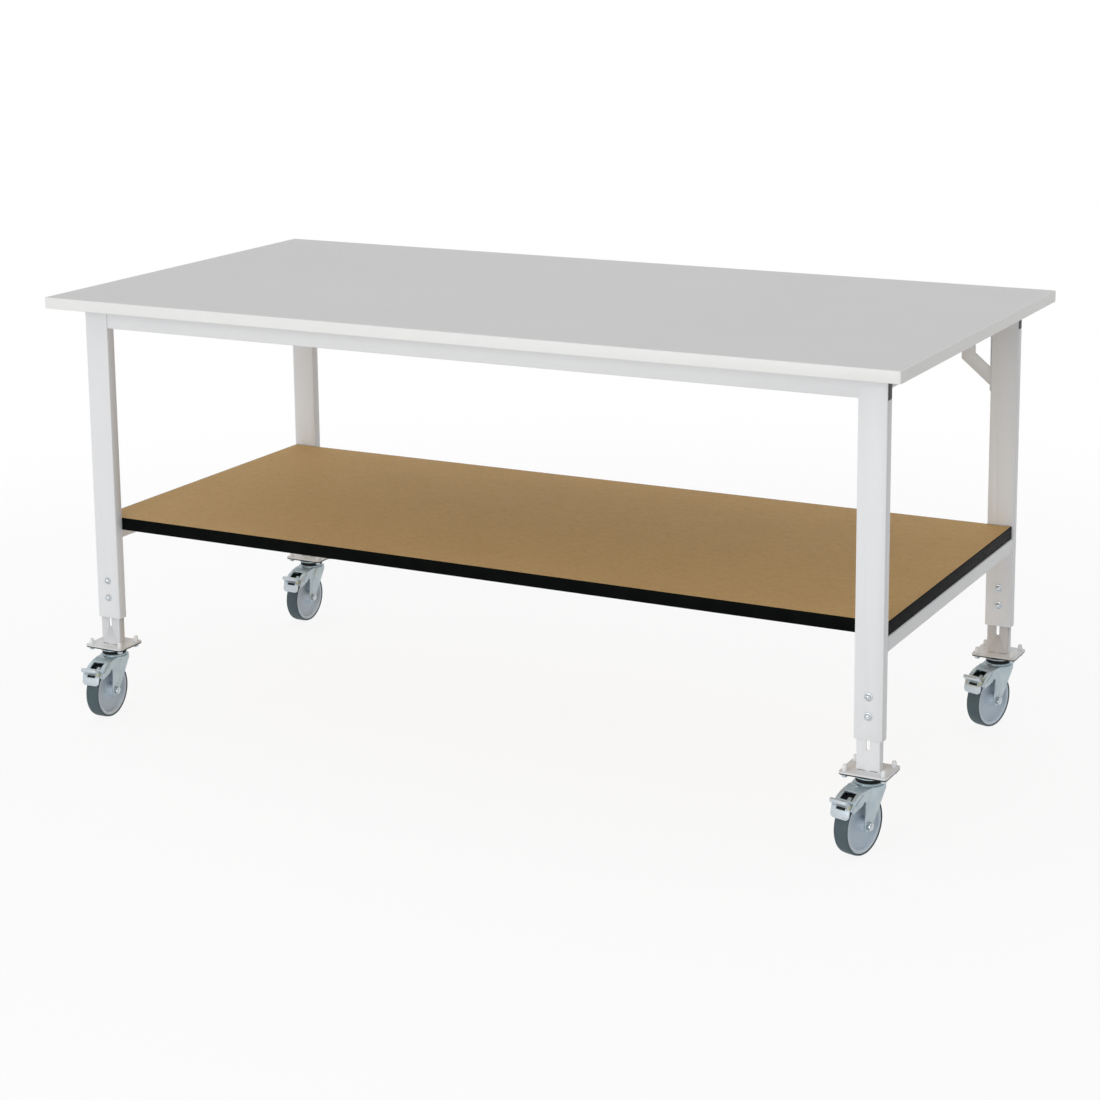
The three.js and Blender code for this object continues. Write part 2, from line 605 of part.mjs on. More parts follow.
// The space under the roof of the hood, open at the nose and below.
function hoodBore() {
  const outline = new THREE.Shape();
  outline.moveTo(0, 0);
  outline.lineTo(0, CROWN_UNDERSIDE);
  outline.absarc(CASTER_TRAIL, AXLE_HEIGHT, HOOD_RADIUS - FORK_SHEET, Math.PI / 2, 0, true);
  outline.lineTo(CASTER_TRAIL + HOOD_RADIUS, 0);
  return solidOf(extrudeY(outline, FORK_BORE_WIDTH, { steps: ARC_STEPS }));
}

function fork() {
  const hood = solidOf(extrudeY(hoodOutline(), FORK_WIDTH, { bevel: FORK_BEND, steps: ARC_STEPS }));
  const [roofFront, roofLow] = aroundAxle(HOOD_RADIUS, ROOF_END);
  const [windowFront] = aroundAxle(HOOD_RADIUS, WINDOW_FRONT);
  const [windowRear] = aroundAxle(HOOD_RADIUS, WINDOW_REAR);
  const [pinX, pinZ] = aroundAxle(WHEEL_RADIUS + PEDAL_PIN_CLEARANCE, PEDAL_ANGLE);
  const above = CROWN_TOP + FORK_SHEET;
  const noseOpening = box(roofFront, roofFront + HOOD_RADIUS, -FORK_BORE_WIDTH / 2, FORK_BORE_WIDTH / 2,
    0, above);
  const hoodWindow = box(windowRear, windowFront, -WINDOW_WIDTH / 2, WINDOW_WIDTH / 2,
    roofLow - FORK_SHEET, above);
  const wheelHalf = TYRE_WIDTH / 2 + WHEEL_SIDE_GAP;
  const wheelGap = box(-HOOD_RADIUS, CASTER_TRAIL + KNEE_FRONT + FORK_SHEET, -wheelHalf, wheelHalf, 0,
    CROWN_TOP - CROWN_RIM);
  const axleHole = holeFor(AXLE_RADIUS, -FORK_WIDTH, FORK_WIDTH)
    .translate(CASTER_TRAIL, 0, AXLE_HEIGHT);
  const pinHole = holeFor(PEDAL_PIN_RADIUS, -FORK_WIDTH, FORK_WIDTH).translate(pinX, 0, pinZ);
  const bore = (KINGPIN_RADIUS + FIT_GAP) / Math.cos(Math.PI / RACE_STEPS);
  const raceTop = CROWN_TOP + LOWER_RACE;
  const race = [
    [bore, CROWN_TOP - FORK_SHEET / 2],
    [RACE_NECK_RADIUS, CROWN_TOP - FORK_SHEET / 2],
    [RACE_NECK_RADIUS, raceTop - RACE_RIM],
    [RACE_RADIUS - RACE_RIM, raceTop - RACE_RIM],
    [RACE_RADIUS - RACE_RIM, raceTop],
    [bore, raceTop],
  ];
  const kingpinHole = holeFor(KINGPIN_RADIUS, CROWN_UNDERSIDE - FORK_SHEET, above).rotateX(Math.PI / 2);
  return hood
    .add(legBody(0))
    .subtract(legBody(FORK_SHEET))
    .subtract(hoodBore())
    .subtract(wheelGap)
    .subtract(noseOpening)
    .subtract(hoodWindow)
    .subtract(solidOf(axleHole))
    .subtract(solidOf(pinHole))
    .subtract(solidOf(kingpinHole))
    .add(solidOf(revolveUpright(race, RACE_STEPS)));
}

function axle() {
  const seat = FORK_WIDTH / 2 + FIT_GAP;
  const shank = pin(AXLE_RADIUS, -seat - AXLE_HEAD / 2, seat + AXLE_NUT + AXLE_TIP);
  const head = hexagon(AXLE_FLATS, AXLE_HEAD).translate(0, -seat - AXLE_HEAD / 2, 0);
  const nut = hexagon(AXLE_FLATS, AXLE_NUT).translate(0, seat + AXLE_NUT / 2, 0);
  return solidOf(shank).add(solidOf(head)).add(solidOf(nut)).translate([CASTER_TRAIL, 0, AXLE_HEIGHT]);
}

// Revolves a wheel piece about the axle, with a flat facet on the floor.
function wheelPiece(halfOutline) {
  const mirrored = halfOutline.map(([radius, y]) => [radius, -y]).reverse();
  const geometry = revolve([...halfOutline, ...mirrored], WHEEL_STEPS).rotateY(WHEEL_FACET);
  return solidOf(geometry.translate(CASTER_TRAIL, 0, AXLE_HEIGHT));
}

function wheelCore() {
  const hubEnd = FORK_BORE_WIDTH / 2 - HUB_END_GAP;
  const web = WEB_THICKNESS / 2;
  return wheelPiece([
    [AXLE_RADIUS + FIT_GAP, hubEnd],
    [HUB_RADIUS, hubEnd],
    [HUB_RADIUS, web],
    [RIM_RADIUS - RIM_LIP - RIM_SLOPE, web],
    [RIM_RADIUS - RIM_LIP, RIM_WIDTH / 2],
    [RIM_RADIUS, RIM_WIDTH / 2],
  ]);
}

function tyre() {
  const inner = RIM_RADIUS + FIT_GAP;
  return wheelPiece([
    [inner, TYRE_WIDTH / 2],
    [(inner + WHEEL_RADIUS) / 2, TYRE_WIDTH / 2],
    [WHEEL_RADIUS, TREAD_WIDTH / 2],
  ]);
}

// A block between two radii and two angles round the axle.
function axleSector(inner, outer, start, end, width) {
  const outline = new THREE.Shape();
  outline.absarc(CASTER_TRAIL, AXLE_HEIGHT, outer, start, end);
  outline.absarc(CASTER_TRAIL, AXLE_HEIGHT, inner, end, start, true);
  return solidOf(extrudeY(outline, width, { steps: CORNER_STEPS }));
}

// The wide lip that locks the wheel: sheet that leaves the hub level and curls down in front.
function lockLip() {
  const outline = new THREE.Shape();
  const back = LOCK_LIP_REACH - LOCK_LIP_SHEET;
  const under = PEDAL_HUB_RADIUS - LOCK_LIP_SHEET;
  outline.moveTo(0, PEDAL_HUB_RADIUS);
  outline.quadraticCurveTo(LOCK_LIP_REACH, PEDAL_HUB_RADIUS, LOCK_LIP_REACH, -LOCK_LIP_DROP);
  outline.lineTo(back, -LOCK_LIP_DROP);
  outline.quadraticCurveTo(back, under, 0, under);
  const front = rectangle(PEDAL_WIDTH, 2 * LOCK_LIP_DROP, LOCK_LIP_CORNER);
  return solidOf(extrudeY(outline, PEDAL_WIDTH, { steps: ARC_STEPS }))
    .intersect(solidOf(extrudeX(front, HOOD_RADIUS, { steps: ARC_STEPS })));
}

// The narrow lip that frees the wheel: a straight tongue with a round end.
function releaseLip() {
  const half = RELEASE_LIP_SHEET / 2;
  const slope = Math.atan2(RELEASE_LIP_RISE, RELEASE_LIP_REACH);
  const [nx, nz] = [-half * Math.sin(slope), half * Math.cos(slope)];
  const outline = new THREE.Shape();
  outline.moveTo(-nx, -nz);
  outline.absarc(RELEASE_LIP_REACH, RELEASE_LIP_RISE, half, slope - Math.PI / 2, slope + Math.PI / 2);
  outline.lineTo(nx, nz);
  return solidOf(extrudeY(outline, RELEASE_LIP_WIDTH, { bevel: RELEASE_LIP_EASE, steps: ARC_STEPS }));
}

function brakePedal() {
  const [pinX, pinZ] = aroundAxle(WHEEL_RADIUS + PEDAL_PIN_CLEARANCE, PEDAL_ANGLE);
  const seat = FORK_WIDTH / 2 + FIT_GAP;
  const carrierInner = WHEEL_RADIUS + SHOE_CLEARANCE + SHOE_THICKNESS + FIT_GAP;
  const carrier = axleSector(carrierInner, carrierInner + SHOE_CARRIER, SHOE_START, PEDAL_ANGLE, SHOE_WIDTH);
  const hub = pin(PEDAL_HUB_RADIUS, -PEDAL_WIDTH / 2, PEDAL_WIDTH / 2);
  const pivot = pin(PEDAL_PIN_RADIUS, -seat - PEDAL_PIN_HEAD / 2, seat + PEDAL_PIN_HEAD / 2);
  const relief = axleSector(WHEEL_RADIUS, carrierInner, SHOE_START, SHOE_END, SHOE_WIDTH + 2 * FIT_GAP);
  const lip = lockLip().subtract(relief.translate([-pinX, 0, -pinZ]));
  let pedal = solidOf(hub).add(solidOf(pivot)).add(lip).add(releaseLip());
  for (const { sy } of ROWS) {
    const head = pin(PEDAL_PIN_HEAD_RADIUS, -PEDAL_PIN_HEAD / 2, PEDAL_PIN_HEAD / 2)
      .translate(0, sy * (seat + PEDAL_PIN_HEAD / 2), 0);
    pedal = pedal.add(solidOf(head));
  }
  return pedal.translate([pinX, 0, pinZ]).add(carrier);
}

function brakeShoe() {
  const inner = WHEEL_RADIUS + SHOE_CLEARANCE;
  return axleSector(inner, inner + SHOE_THICKNESS, SHOE_START, SHOE_END, SHOE_WIDTH);
}

function addCasters() {
  const plate = casterPlate();
  const turning = [
    ['caster_fork', fork(), ZINC],
    ['caster_axle', axle(), BRIGHT_STEEL],
    ['wheel_core', wheelCore(), WHEEL_PLASTIC],
    ['tyre', tyre(), TYRE_RUBBER],
    ['brake_pedal', brakePedal(), ZINC],
    ['brake_shoe', brakeShoe(), BLACK_PLASTIC],
  ];
  for (const { row, side, sx, sy } of CORNERS) {
    const station = new THREE.Group();
    station.position.set(sx * LEG_X, sy * LEG_Y, 0);
    table.add(station);
    addPiece(station, `caster_plate_${row}_${side}`, plate, ZINC);
    const swivel = new THREE.Group();
    swivel.rotation.z = CASTER_HEADINGS[`${row}_${side}`];
    station.add(swivel);
    for (const [name, solid, finish] of turning) {
      addPiece(swivel, `${name}_${row}_${side}`, solid, finish);
    }
  }
}

addBoard('tabletop', TOP_LENGTH, TOP_DEPTH, TOP_THICKNESS, TOP_CORNER, FRAME_TOP, MELAMINE, EDGE_PLASTIC);
addBoard('shelf', 2 * (LEG_OUTER_X - SHELF_END_INSET), 2 * (LEG_INNER_Y - SHELF_LEG_GAP), SHELF_THICKNESS,
  SHELF_CORNER, SHELF_HEIGHT - SHELF_THICKNESS, BROWN_BOARD, BLACK_PLASTIC);
ROWS.forEach(addLongRail);
CORNERS.forEach(addRailPlug);
for (const { side, sx } of SIDES) {
  addCrossTube(`side_rail_${side}`, sx, SIDE_RAIL_WIDTH, SIDE_RAIL_HEIGHT, FRAME_TOP);
  addCrossTube(`shelf_crossbar_${side}`, sx, CROSSBAR_WIDTH, CROSSBAR_HEIGHT, SHELF_HEIGHT - SHELF_THICKNESS);
}
CORNERS.forEach(addOuterLeg);
SIDES.forEach(addCornerBrace);
CORNERS.forEach(addInnerLeg);
CORNERS.forEach(addClampScrews);
addCasters();

export default table;
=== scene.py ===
import math

import bmesh
import bpy
from mathutils import Matrix, Vector


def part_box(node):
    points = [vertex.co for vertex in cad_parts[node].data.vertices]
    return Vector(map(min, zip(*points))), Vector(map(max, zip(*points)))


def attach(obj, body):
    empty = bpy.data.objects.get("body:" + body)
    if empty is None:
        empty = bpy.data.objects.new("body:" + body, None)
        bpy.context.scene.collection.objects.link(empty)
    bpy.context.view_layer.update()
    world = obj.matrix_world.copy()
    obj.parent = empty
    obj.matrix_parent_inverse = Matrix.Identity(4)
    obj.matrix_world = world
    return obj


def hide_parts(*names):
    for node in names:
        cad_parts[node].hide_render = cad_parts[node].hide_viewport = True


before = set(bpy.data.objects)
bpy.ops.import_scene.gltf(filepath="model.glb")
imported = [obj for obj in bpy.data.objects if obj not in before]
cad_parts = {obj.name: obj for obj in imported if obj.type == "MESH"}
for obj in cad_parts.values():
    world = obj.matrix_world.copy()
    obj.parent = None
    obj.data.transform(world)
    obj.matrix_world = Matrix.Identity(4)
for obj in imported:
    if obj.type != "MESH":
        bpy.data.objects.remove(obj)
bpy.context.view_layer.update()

MM = 0.001

# Castor sizes, in millimetres, in a frame with X from the kingpin towards the pedal, Y along the axle
# and Z up from the floor.
LEG_X, LEG_Y = 918.0, 412.5
TRAIL, AXLE_Z = 36.0, 61.965
WHEEL_RADIUS = 61.96
FIT_GAP = 0.3
FORK_HALF, FORK_SHEET = 24.5, 2.5
HOOD_RADIUS, NOSE_RADIUS = 75.0, 63.5
CROWN_TOP = AXLE_Z + HOOD_RADIUS
CROWN_RADIUS, CROWN_RIM = 33.0, 10.0
SHEET_BEND = 3.0
SKIRT_Z, SKIRT_NOTCH_X, SKIRT_NOTCH_RADIUS = 109.965, 14, 5.0
KNEE_Z, KNEE_REAR, KNEE_FRONT = 80.965, 31.0, 9.0
BOSS_RADIUS = 12.0
WINDOW_HALF, WHEEL_GAP_HALF = 14, 18.5
AXLE_HOLE, PIN_HOLE, KINGPIN_HOLE = 4.3, 3.3, 6.5
PLATE_BOTTOM, PLATE_TOP = 156.765, 159.765
# Top of the castor plate, where the black sheet of painted shade under the base plate starts
SHADE_SHEET_Z = 157.6
BASE_TOP = 162.765
KINGPIN_NUT_Z = 130.665
WELD_SLOT_Y = 11.8
PIN_X, PIN_Z = 84.79, 110.756
LOCK_LIP_REACH, LOCK_LIP_DROP = 16.0, 21.0
RELEASE_LIP_REACH, RELEASE_LIP_RISE = 20.0, 16.0

# Places along the hood, in degrees round the axle
HOOD_NOSE, NOSE_CUT, WINDOW_START, WINDOW_END = 38, 50, 54, 72

# Columns, rows, width and depth of the grids of fixings on a castor's plate
BOLT_GRID = (2, 2, 80.0, 60.0)
WELD_GRID = (2, 2, 26.0, 2 * WELD_SLOT_Y)

# Corner, its sides in X and Y, and the castor's heading in degrees
CORNERS = [
    ("front_left", -1, -1, -86),
    ("front_right", 1, -1, -104),
    ("rear_left", -1, 1, -90),
    ("rear_right", 1, 1, -107),
]

# Facets of round shapes, distances within which points merge, and angles of flat and sharp edges
RACE_STEPS, WHEEL_STEPS, SMALL_STEPS = 72, 96, 32
MERGE, COARSE_MERGE = 1e-4, 1e-3
FLAT_ANGLE = math.radians(0.5)
SHARP_ANGLE = math.radians(32.0)
QUARTER_X = Matrix.Rotation(math.pi / 2, 4, "X")
THREE_QUARTERS_X = QUARTER_X @ Matrix.Rotation(math.pi, 4, "X")


# Finishes

def shade(red, green, blue):
    """A screen colour, 0 to 255, as a linear colour."""
    def linear(v):
        v /= 255
        return v / 12.92 if v <= 0.04045 else ((v + 0.055) / 1.055) ** 2.4
    return (linear(red), linear(green), linear(blue), 1.0)


class Finish:
    """A surface finish whose patterns lie on Object coordinates, in metres."""

    def __init__(self, name, colour, roughness, metallic, gleam):
        self.material = bpy.data.materials.new(name)
        self.material.use_nodes = True
        tree = self.material.node_tree
        self.nodes, self.links = tree.nodes, tree.links
        self.shader = self.nodes["Principled BSDF"]
        self.first_colour = shade(*colour)
        values = {"Base Color": self.first_colour, "Roughness": roughness, "Metallic": metallic,
                  "Specular IOR Level": gleam}
        for socket, value in values.items():
            self.shader.inputs[socket].default_value = value
        self.coords = self.nodes.new("ShaderNodeTexCoord").outputs["Object"]
        self.colour = None

    def stretched(self, scale):
        mapping = self.nodes.new("ShaderNodeMapping")
        mapping.inputs["Scale"].default_value = scale
        self.links.new(self.coords, mapping.inputs["Vector"])
        return mapping.outputs["Vector"]

    def noise(self, scale, detail, stretch=None):
        noise = self.nodes.new("ShaderNodeTexNoise")
        noise.inputs["Scale"].default_value = scale
        noise.inputs["Detail"].default_value = detail
        vector = self.stretched(stretch) if stretch else self.coords
        self.links.new(vector, noise.inputs["Vector"])
        return noise.outputs["Fac"]

    def cells(self, scale):
        cells = self.nodes.new("ShaderNodeTexVoronoi")
        cells.inputs["Scale"].default_value = scale
        self.links.new(self.coords, cells.inputs["Vector"])
        return cells.outputs["Distance"]

    def spread(self, source, low, high, out_low, out_high):
        spread = self.nodes.new("ShaderNodeMapRange")
        values = {"From Min": low, "From Max": high, "To Min": out_low, "To Max": out_high}
        for socket, value in values.items():
            spread.inputs[socket].default_value = value
        self.links.new(source, spread.inputs["Value"])
        return spread.outputs["Result"]

    def tint(self, mask, colour):
        """Mixes a colour over those before it. Sockets 6, 7 and 2 are the Mix node's colours."""
        mix = self.nodes.new("ShaderNodeMix")
        mix.data_type = "RGBA"
        mix.inputs[6].default_value = self.first_colour
        if self.colour is not None:
            self.links.new(self.colour, mix.inputs[6])
        mix.inputs[7].default_value = shade(*colour)
        self.links.new(mask, mix.inputs[0])
        self.colour = mix.outputs[2]
        self.links.new(self.colour, self.shader.inputs["Base Color"])

    def gloss(self, source, smooth, rough):
        result = self.spread(source, 0.3, 0.7, smooth, rough)
        self.links.new(result, self.shader.inputs["Roughness"])

    def relief(self, height, depth, strength):
        bump = self.nodes.new("ShaderNodeBump")
        bump.inputs["Distance"].default_value = depth
        bump.inputs["Strength"].default_value = strength
        self.links.new(height, bump.inputs["Height"])
        self.links.new(bump.outputs["Normal"], self.shader.inputs["Normal"])


def make_finish(name, colour, roughness, tints, gloss, grain, depth, strength, metallic=0.0, gleam=0.5):
    """A finish with tints, gloss and grain, all of noise.

    A tint is the noise's scale, detail, low and high end, the tint's amount and colour, and a stretch.
    The gloss is the noise's scale and detail, and the roughness at its ends. The grain is the noise's
    scale and detail, or the scale of cells.
    """
    made = Finish(name, colour, roughness, metallic, gleam)
    for scale, detail, low, high, amount, patch, *stretch in tints:
        made.tint(made.spread(made.noise(scale, detail, *stretch), low, high, 0.0, amount), patch)
    scale, detail, smooth, rough = gloss
    made.gloss(made.noise(scale, detail), smooth, rough)
    made.relief(made.noise(*grain) if len(grain) == 2 else made.cells(*grain), depth, strength)
    return made.material


MELAMINE = make_finish("melamine_grey", (208, 208, 209), 0.42, [
    (3.2, 3, 0.35, 0.7, 0.35, (213, 213, 213)),
    (850, 1, 0.6, 0.78, 0.28, (190, 190, 192)),
    (620, 1, 0.62, 0.8, 0.3, (224, 224, 224)),
], gloss=(240, 2, 0.36, 0.48), grain=(700, 2), depth=0.00005, strength=0.5)

EDGE_PLASTIC = make_finish("edge_band_white", (236, 236, 234), 0.4, [
    (14, 2, 0.35, 0.7, 0.4, (231, 231, 230)),
], gloss=(180, 2, 0.34, 0.46), grain=(900, 2), depth=0.00004, strength=0.5)

POWDER_COAT = make_finish("powder_coat_white", (231, 232, 233), 0.42, [
    (5, 3, 0.35, 0.72, 0.45, (226, 227, 229)),
    (1400, 1, 0.66, 0.8, 0.25, (205, 207, 210)),
], gloss=(90, 3, 0.36, 0.5), grain=(620, 2), depth=0.00006, strength=0.6)

BROWN_BOARD = make_finish("brown_fibreboard", (206, 167, 103), 0.7, [
    (4.5, 4, 0.3, 0.72, 0.5, (197, 158, 95)),
    (60, 5, 0.45, 0.75, 0.5, (184, 145, 86), (1.0, 2.2, 1.0)),
    (320, 3, 0.55, 0.72, 0.6, (156, 118, 67), (1.0, 1.9, 1.0)),
    (410, 2, 0.6, 0.76, 0.55, (230, 198, 140), (1.7, 1.0, 1.0)),
], gloss=(130, 3, 0.58, 0.78), grain=(520, 3), depth=0.00008, strength=0.6)

BLACK_EDGE = make_finish("shelf_edge_black", (7, 9, 8), 0.55, [
    (20, 3, 0.4, 0.7, 0.6, (15, 18, 16)),
], gloss=(160, 2, 0.36, 0.52), grain=(900, 2), depth=0.00005, strength=0.6, gleam=0.02)

BLACK_PLASTIC = make_finish("plug_plastic_black", (24, 25, 26), 0.5, [
    (60, 3, 0.4, 0.7, 0.5, (38, 39, 40)),
], gloss=(300, 2, 0.42, 0.58), grain=(1600,), depth=0.00006, strength=0.6, gleam=0.25)

ZINC = make_finish("zinc_plated_sheet", (184, 199, 206), 0.38, [
    (38, 4, 0.35, 0.7, 0.7, (205, 218, 223)),
    (150, 3, 0.55, 0.75, 0.45, (158, 175, 185)),
    (24, 2, 0.62, 0.78, 0.22, (190, 184, 150)),
], gloss=(210, 4, 0.27, 0.47), grain=(900, 2), depth=0.00004, strength=0.5, metallic=0.45)

PALE_ZINC = make_finish("pedal_zinc_pale", (199, 209, 216), 0.36, [
    (55, 4, 0.35, 0.7, 0.7, (190, 199, 204)),
    (240, 2, 0.58, 0.75, 0.4, (226, 231, 233)),
], gloss=(260, 3, 0.28, 0.46), grain=(700, 3), depth=0.00007, strength=0.6, metallic=0.55)

BRIGHT_STEEL = make_finish("bright_fastener_steel", (203, 208, 212), 0.26, [
    (120, 3, 0.4, 0.7, 0.6, (178, 186, 192)),
], gloss=(320, 3, 0.2, 0.36), grain=(1200, 2), depth=0.00003, strength=0.5, metallic=0.95)

YELLOW_CHROMATE = make_finish("yellow_chromate_spring", (222, 208, 118), 0.36, [
    (260, 3, 0.4, 0.7, 0.8, (236, 230, 176)),
], gloss=(400, 2, 0.28, 0.42), grain=(1200, 2), depth=0.00003, strength=0.5, metallic=0.5)

CAP_PLASTIC = make_finish("cap_plastic_white", (238, 239, 239), 0.38, [
    (90, 3, 0.4, 0.7, 0.5, (229, 231, 232)),
], gloss=(260, 2, 0.32, 0.46), grain=(900, 2), depth=0.00004, strength=0.5)

WHEEL_PLASTIC = make_finish("wheel_plastic_grey", (199, 213, 225), 0.46, [
    (26, 3, 0.35, 0.7, 0.5, (190, 205, 218)),
    (700, 1, 0.62, 0.78, 0.25, (211, 221, 230)),
], gloss=(180, 2, 0.4, 0.54), grain=(1300,), depth=0.00005, strength=0.5)

# The wheel's own plastic made lighter on the rim: a painted highlight, with the recessed disc left as
# painted shade.
RIM_HIGHLIGHT_PLASTIC = make_finish("wheel_rim_plastic_pale", (211, 222, 231), 0.42, [
    (40, 3, 0.35, 0.7, 0.5, (201, 214, 224)),
], gloss=(180, 2, 0.36, 0.5), grain=(1300,), depth=0.00005, strength=0.5)

TYRE_RUBBER = make_finish("tyre_rubber_slate", (68, 85, 91), 0.64, [
    (30, 4, 0.35, 0.7, 0.6, (60, 76, 82)),
    (420, 2, 0.6, 0.76, 0.3, (96, 109, 114)),
], gloss=(150, 3, 0.55, 0.76), grain=(650, 3), depth=0.0001, strength=0.6)

# Black rubber of the brake shoe and the swivel seals. The same black is also painted shade: the sheet
# under the castor plate, the weld slots, behind the pedal's slot and under the hood window.
BLACK_RUBBER_AND_SHADE = make_finish("black_rubber_and_painted_shade", (24, 27, 27), 0.55, [
    (200, 3, 0.4, 0.7, 0.6, (36, 40, 40)),
], gloss=(260, 2, 0.48, 0.64), grain=(900, 2), depth=0.00006, strength=0.6, gleam=0.2)


# Shapes, in millimetres

def arc(cx, cz, radius, start, end, steps):
    turns = [math.radians(start + (end - start) * k / steps) for k in range(steps + 1)]
    return [(cx + radius * math.cos(t), cz + radius * math.sin(t)) for t in turns]


def bend(start, control, end, steps):
    points = []
    for k in range(steps + 1):
        t = k / steps
        points.append(tuple((1 - t) ** 2 * a + 2 * t * (1 - t) * b + t * t * c
                            for a, b, c in zip(start, control, end)))
    return points


def around_axle(radius, degrees):
    turn = math.radians(degrees)
    return TRAIL + radius * math.cos(turn), AXLE_Z + radius * math.sin(turn)


def round_rectangle(width, depth, radius, steps):
    x, y = width / 2 - radius, depth / 2 - radius
    return (arc(x, y, radius, 0, 90, steps) + arc(-x, y, radius, 90, 180, steps)
            + arc(-x, -y, radius, 180, 270, steps) + arc(x, -y, radius, 270, 360, steps))


def prism(outline, y0, y1):
    """An outline of (x, z) points drawn out along Y."""
    bm = bmesh.new()
    near = [bm.verts.new((x, y0, z)) for x, z in outline]
    far = [bm.verts.new((x, y1, z)) for x, z in outline]
    bm.faces.new(near)
    bm.faces.new(far[::-1])
    for k in range(len(outline)):
        bm.faces.new((near[k - 1], near[k], far[k], far[k - 1]))
    bmesh.ops.remove_doubles(bm, verts=bm.verts, dist=MERGE)
    bmesh.ops.recalc_face_normals(bm, faces=bm.faces)
    return bm


def upright(outline, z0, z1):
    """An outline of (x, y) points drawn up along Z."""
    bm = prism(outline, -z1, -z0)
    bm.transform(THREE_QUARTERS_X)
    return bm


def block(x0, x1, y0, y1, z0, z1):
    return prism([(x0, z0), (x1, z0), (x1, z1), (x0, z1)], y0, y1)


def lathe(outline, steps):
    """A closed outline of (radius, height) points turned about Z."""
    bm = bmesh.new()
    rings = []
    for k in range(steps):
        t = math.tau * k / steps
        rings.append([bm.verts.new((r * math.cos(t), r * math.sin(t), h)) for r, h in outline])
    for k in range(steps):
        for j in range(len(outline)):
            corners = (rings[k - 1][j - 1], rings[k][j - 1], rings[k][j], rings[k - 1][j])
            if outline[j - 1][0] > 0 or outline[j][0] > 0:
                bm.faces.new(corners)
    bmesh.ops.remove_doubles(bm, verts=bm.verts, dist=MERGE)
    bmesh.ops.dissolve_degenerate(bm, edges=bm.edges, dist=MERGE)
    bmesh.ops.recalc_face_normals(bm, faces=bm.faces)
    return bm


def rod(radius, y0, y1, steps=SMALL_STEPS):
    """A round bar along Y."""
    bm = lathe([(0, -y1), (radius, -y1), (radius, -y0), (0, -y0)], steps)
    bm.transform(QUARTER_X)
    return bm


def moved(bm, x=0.0, y=0.0, z=0.0):
    bm.transform(Matrix.Translation((x, y, z)))
    return bm


def eased(bm, width, steps=2, angle=30.0):
    """Rounds every edge that turns by more than the angle."""
    limit = math.radians(angle)
    edges = [e for e in bm.edges if len(e.link_faces) == 2 and e.calc_face_angle() > limit]
    bmesh.ops.bevel(bm, geom=edges, offset=width, segments=steps, profile=0.5, affect="EDGES",
                    clamp_overlap=True)
    return bm


def hexagon(flats, y0, y1, ease=0.6):
    corner = flats / 2 / math.cos(math.pi / 6)
    outline = [(corner * math.cos(math.tau * k / 6), corner * math.sin(math.tau * k / 6))
               for k in range(6)]
    return eased(prism(outline, y0, y1), ease, 2)


def scratch(bm):
    mesh = bpy.data.meshes.new("scratch")
    bm.to_mesh(mesh)
    bm.free()
    obj = bpy.data.objects.new("scratch", mesh)
    bpy.context.scene.collection.objects.link(obj)
    return obj


def settled(obj):
    """The object's mesh with its modifiers worked in, as a bmesh; the object is dropped."""
    bpy.context.view_layer.update()
    mesh = bpy.data.meshes.new_from_object(obj.evaluated_get(bpy.context.evaluated_depsgraph_get()))
    bm = bmesh.new()
    bm.from_mesh(mesh)
    drop(obj)
    bpy.data.meshes.remove(mesh)
    return bm


def drop(obj):
    mesh = obj.data
    bpy.data.objects.remove(obj)
    bpy.data.meshes.remove(mesh)


def combined(base, others, operation):
    body = scratch(base)
    tools = [scratch(other) for other in others]
    for tool in tools:
        step = body.modifiers.new("step", "BOOLEAN")
        step.operation = operation
        step.solver = "EXACT"
        step.object = tool
    bm = settled(body)
    for tool in tools:
        drop(tool)
    bmesh.ops.remove_doubles(bm, verts=bm.verts, dist=COARSE_MERGE)
    bmesh.ops.dissolve_limit(bm, angle_limit=FLAT_ANGLE, verts=bm.verts, edges=bm.edges)
    return bm


def carved(bm, *cutters):
    """Cuts a body with others, one at a time."""
    for cutter in cutters:
        bm = combined(bm, [cutter], "DIFFERENCE")
    return bm


def welded(base, *others):
    return combined(base, others, "UNION")


def cad_shape(node):
    """A merged copy of a CAD node, in millimetres."""
    bm = bmesh.new()
    bm.from_mesh(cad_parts[node].data)
    bmesh.ops.scale(bm, vec=(1 / MM,) * 3, verts=bm.verts)
    bmesh.ops.remove_doubles(bm, verts=bm.verts, dist=COARSE_MERGE)
    bmesh.ops.dissolve_limit(bm, angle_limit=FLAT_ANGLE, verts=bm.verts, edges=bm.edges)
    return bm


def piece(name, bm, finish, body, nodes=(), place=None):
    """Makes a bmesh in millimetres an object of its own that rides on a body."""
    if not bm.faces:
        raise ValueError(f"{name} has no surface")
    mesh = bpy.data.meshes.new(name)
    bm.to_mesh(mesh)
    if place is not None:
        mesh.transform(place)
    mesh.transform(Matrix.Scale(MM, 4))
    mesh.shade_smooth()
    mesh.set_sharp_from_angle(angle=SHARP_ANGLE)
    mesh.materials.append(finish)
    obj = bpy.data.objects.new(name, mesh)
    bpy.context.scene.collection.objects.link(obj)
    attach(obj, body)
    if nodes:
        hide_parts(*nodes)


def cover(node, finish):
    """Puts a finish on a CAD node that stays."""
    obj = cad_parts[node]
    obj.data.materials.clear()
    obj.data.materials.append(finish)


# Repeated fixings

